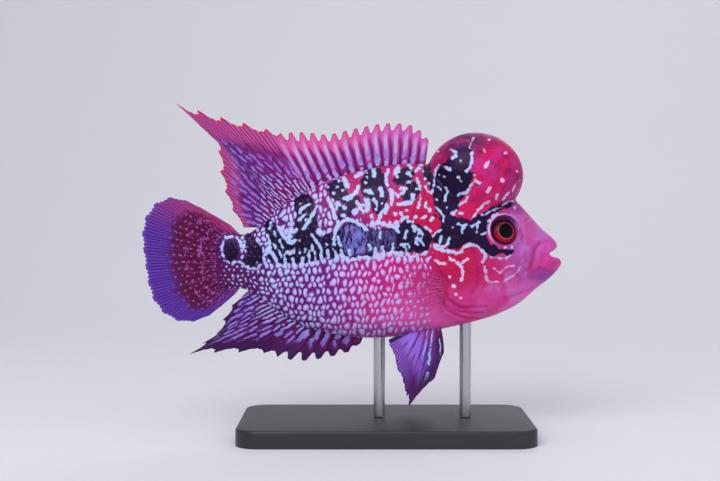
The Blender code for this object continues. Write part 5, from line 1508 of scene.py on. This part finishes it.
def makeEyeMaterial():
    material, tree, shader = newMaterial("eyeIris", **eyeShine)
    place = addNode(tree, "ShaderNodeTexCoord").outputs["Object"]
    away = attribute(tree, "fromSight")
    upper = attribute(tree, "upper")
    fleck = noise(tree, place, *eyeLook["fleckNoise"])
    wobble = shaken(tree, away, fleck, eyeLook["wobble"])
    tones = {name: linear(*eyeLook[name])
             for name in ("pupil", "ring", "inner", "irisLow", "irisShadedTop", "fleck", "outer", "glint")}

    def ringShare(at, wide):
        off = calc(tree, "ABSOLUTE", calc(tree, "SUBTRACT", wobble, eyeLook[at]))
        return ease(tree, off, *eyeLook[wide])

    # painted shadow over the iris's top, as if cast by the orbit's upper rim
    high = ease(tree, calc(tree, "MULTIPLY_ADD", fleck, eyeLook["shadeFleck"], upper), *eyeLook["high"])
    iris = blendColour(tree, high, tones["irisLow"], tones["irisShadedTop"])
    flecked = times(tree, ease(tree, fleck, *eyeLook["fleckFrom"]), eyeLook["fleckShare"])
    iris = blendColour(tree, flecked, iris, tones["fleck"])
    inside = ease(tree, away, eyeLook["ringAt"], eyeLook["ringAt"] + eyeLook["innerBlur"])
    iris = blendColour(tree, inside, iris, tones["inner"])
    colour = blendColour(tree, ease(tree, wobble, *eyeLook["irisEnd"]), iris, tones["outer"])
    glint = times(tree, ringShare("glintAt", "glintWide"), ease(tree, upper, *eyeLook["glintFrom"]))
    colour = blendColour(tree, times(tree, glint, eyeLook["glintShare"]), colour, tones["glint"])
    ringStrength = blendValue(tree, high, eyeLook["ringLow"], eyeLook["ringInShade"])
    ring = times(tree, ringShare("ringAt", "ringWide"), ringStrength)
    colour = blendColour(tree, ring, colour, tones["ring"])
    pupilEnd, blur = eyeLook["pupilRadius"], eyeLook["pupilBlur"]
    colour = blendColour(tree, ease(tree, wobble, pupilEnd + blur, pupilEnd - blur), colour, tones["pupil"])
    connect(tree, colour, shader.inputs["Base Color"])
    rough = calc(tree, "MULTIPLY_ADD", fleck, eyeLook["fleckRough"], eyeLook["roughness"])
    connect(tree, rough, shader.inputs["Roughness"])
    connect(tree, bump(tree, fleck, *eyeLook["bump"]), shader.inputs["Normal"])
    return material


# Stand

stand = {"corner": 6.0, "cornerSteps": 12, "edge": 0.7, "edgeSteps": 4, "baseAngle": 32, "rodRadius": 1.5,
         "rodSides": 48, "rodAngle": 40, "intoBelly": 0.4,
         "rods": {"standRodBack": "stand_rod_back", "standRodFront": "stand_rod_front"}}


def makeBase():
    low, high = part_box("stand_base")
    bpy.ops.object.select_all(action="DESELECT")
    bpy.ops.mesh.primitive_cube_add(size=1.0)
    base = bpy.context.object
    base.name = "standBase"
    setPoints(base, (pointsOf(base) + 0.5) * np.array(high - low) + np.array(low))
    bottom, top = edgeHeights(base)
    bevelSome(base, top - bottom > 0.001, stand["corner"] * mm, stand["cornerSteps"])
    bottom, top = edgeHeights(base)
    bevelSome(base, bottom > high.z - 1e-6, stand["edge"] * mm, stand["edgeSteps"])
    selectOnly(base)
    bpy.ops.object.shade_smooth_by_angle(angle=math.radians(stand["baseAngle"]))
    return base


def edgeHeights(piece):
    # the lower and the upper end of each edge
    heights = pointsOf(piece)[:, 2]
    ends = np.array([heights[list(edge.vertices)] for edge in piece.data.edges])
    return ends.min(axis=1), ends.max(axis=1)


def bevelSome(piece, chosen, width, segments):
    selectOnly(piece)
    bpy.ops.object.mode_set(mode="EDIT")
    bpy.ops.mesh.select_all(action="DESELECT")
    bpy.ops.mesh.select_mode(type="EDGE")
    leaveEdit()
    for edge, wanted in zip(piece.data.edges, chosen):
        edge.select = bool(wanted)
    bpy.ops.object.mode_set(mode="EDIT")
    bpy.ops.mesh.bevel(offset=width, segments=segments, affect="EDGES")
    leaveEdit()


def makeRod(name, node):
    low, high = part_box(node)
    bpy.ops.object.select_all(action="DESELECT")
    bpy.ops.mesh.primitive_cylinder_add(vertices=stand["rodSides"], radius=stand["rodRadius"] * mm, depth=1.0)
    rod = bpy.context.object
    rod.name = name
    points = pointsOf(rod)
    upper = points[:, 2] > 0
    points[:, 0] += (low.x + high.x) / 2
    inBelly = profileAt(body["belly"], points[:, 0] / mm) + stand["intoBelly"]
    points[:, 2] = np.where(upper, inBelly * mm, low.z)
    setPoints(rod, points)
    selectOnly(rod)
    bpy.ops.object.shade_smooth_by_angle(angle=math.radians(stand["rodAngle"]))
    return rod


standLooks = {
    "matteBase": {"metal": 0.0, "stretch": 1.0, "tone": (60.0, 3.0), "dark": (30, 30, 34),
                  "light": (44, 44, 50), "roughness": 0.38, "toneRough": 0.15, "grain": (2400.0, 4.0),
                  "bump": (0.25, 0.0001)},
    "brushedSteel": {"metal": 1.0, "stretch": 14.0, "tone": (700.0, 3.0), "dark": (170, 170, 176),
                     "light": (204, 204, 210), "roughness": 0.2, "toneRough": 0.2, "grain": (700.0, 3.0),
                     "bump": (0.15, 0.00005)},
}


def makeStandMaterial(name):
    look = standLooks[name]
    material, tree, shader = newMaterial(name, Metallic=look["metal"])
    place = addNode(tree, "ShaderNodeTexCoord").outputs["Object"]
    stretch = {"Vector": place, "Scale": (1.0, 1.0, look["stretch"])}
    stretched = addNode(tree, "ShaderNodeMapping", stretch).outputs[0]
    tone = noise(tree, stretched, *look["tone"])
    grain = noise(tree, stretched, *look["grain"])
    colour = blendColour(tree, tone, linear(*look["dark"]), linear(*look["light"]))
    connect(tree, colour, shader.inputs["Base Color"])
    rough = calc(tree, "MULTIPLY_ADD", tone, look["toneRough"], look["roughness"])
    connect(tree, rough, shader.inputs["Roughness"])
    connect(tree, bump(tree, grain, *look["bump"]), shader.inputs["Normal"])
    return material


# Putting it together

makeCamera()
makeStudio()
print("studio ready")

skin = makeSkinForm()
print("skin form:", len(skin.data.polygons), "faces")
addRelief(skin)
paintSkin(skin)
selectOnly(skin)
bpy.ops.object.shade_smooth()
dress(skin, makeSkinMaterial(makePearlGroup()), "fish_skin", "head", "forehead_hump", "upper_jaw",
      "lower_jaw", "gill_cover_left", "gill_cover_right", "torso", "tail_stalk")
print("skin painted")

finGroup = makeFinGroup()
dress(makeLongFin("dorsalFin", dorsal), makeFinMaterial("dorsal", finGroup), "fin_membrane", "dorsal_fin")
dress(makeLongFin("analFin", anal), makeFinMaterial("anal", finGroup), "fin_membrane", "anal_fin")
dress(makeTailFin(), makeFinMaterial("tail", finGroup), "fin_membrane", "caudal_fin")
pelvicMaterial = makeFinMaterial("pelvic", finGroup)
pectoralMaterial = makeFinMaterial("pectoral", finGroup)
for side, word in ((1, "Left"), (-1, "Right")):
    dress(makePelvicFin("pelvicFin" + word, side), pelvicMaterial, "fin_membrane",
          "pelvic_fin_" + word.lower())
    dress(makePectoralFin("pectoralFin" + word, side), pectoralMaterial, "clear_fin",
          "pectoral_fin_" + word.lower())
print("fins ready")

eyeMaterial = makeEyeMaterial()
for side, word in ((1, "Left"), (-1, "Right")):
    dress(makeEye("eye" + word, side), eyeMaterial, "eye", "eye_" + word.lower())
print("eyes ready")

dress(makeBase(), makeStandMaterial("matteBase"), "stand_base", "stand_base")
steel = makeStandMaterial("brushedSteel")
for name, node in stand["rods"].items():
    dress(makeRod(name, node), steel, "stand_rod", node)
print("stand ready")
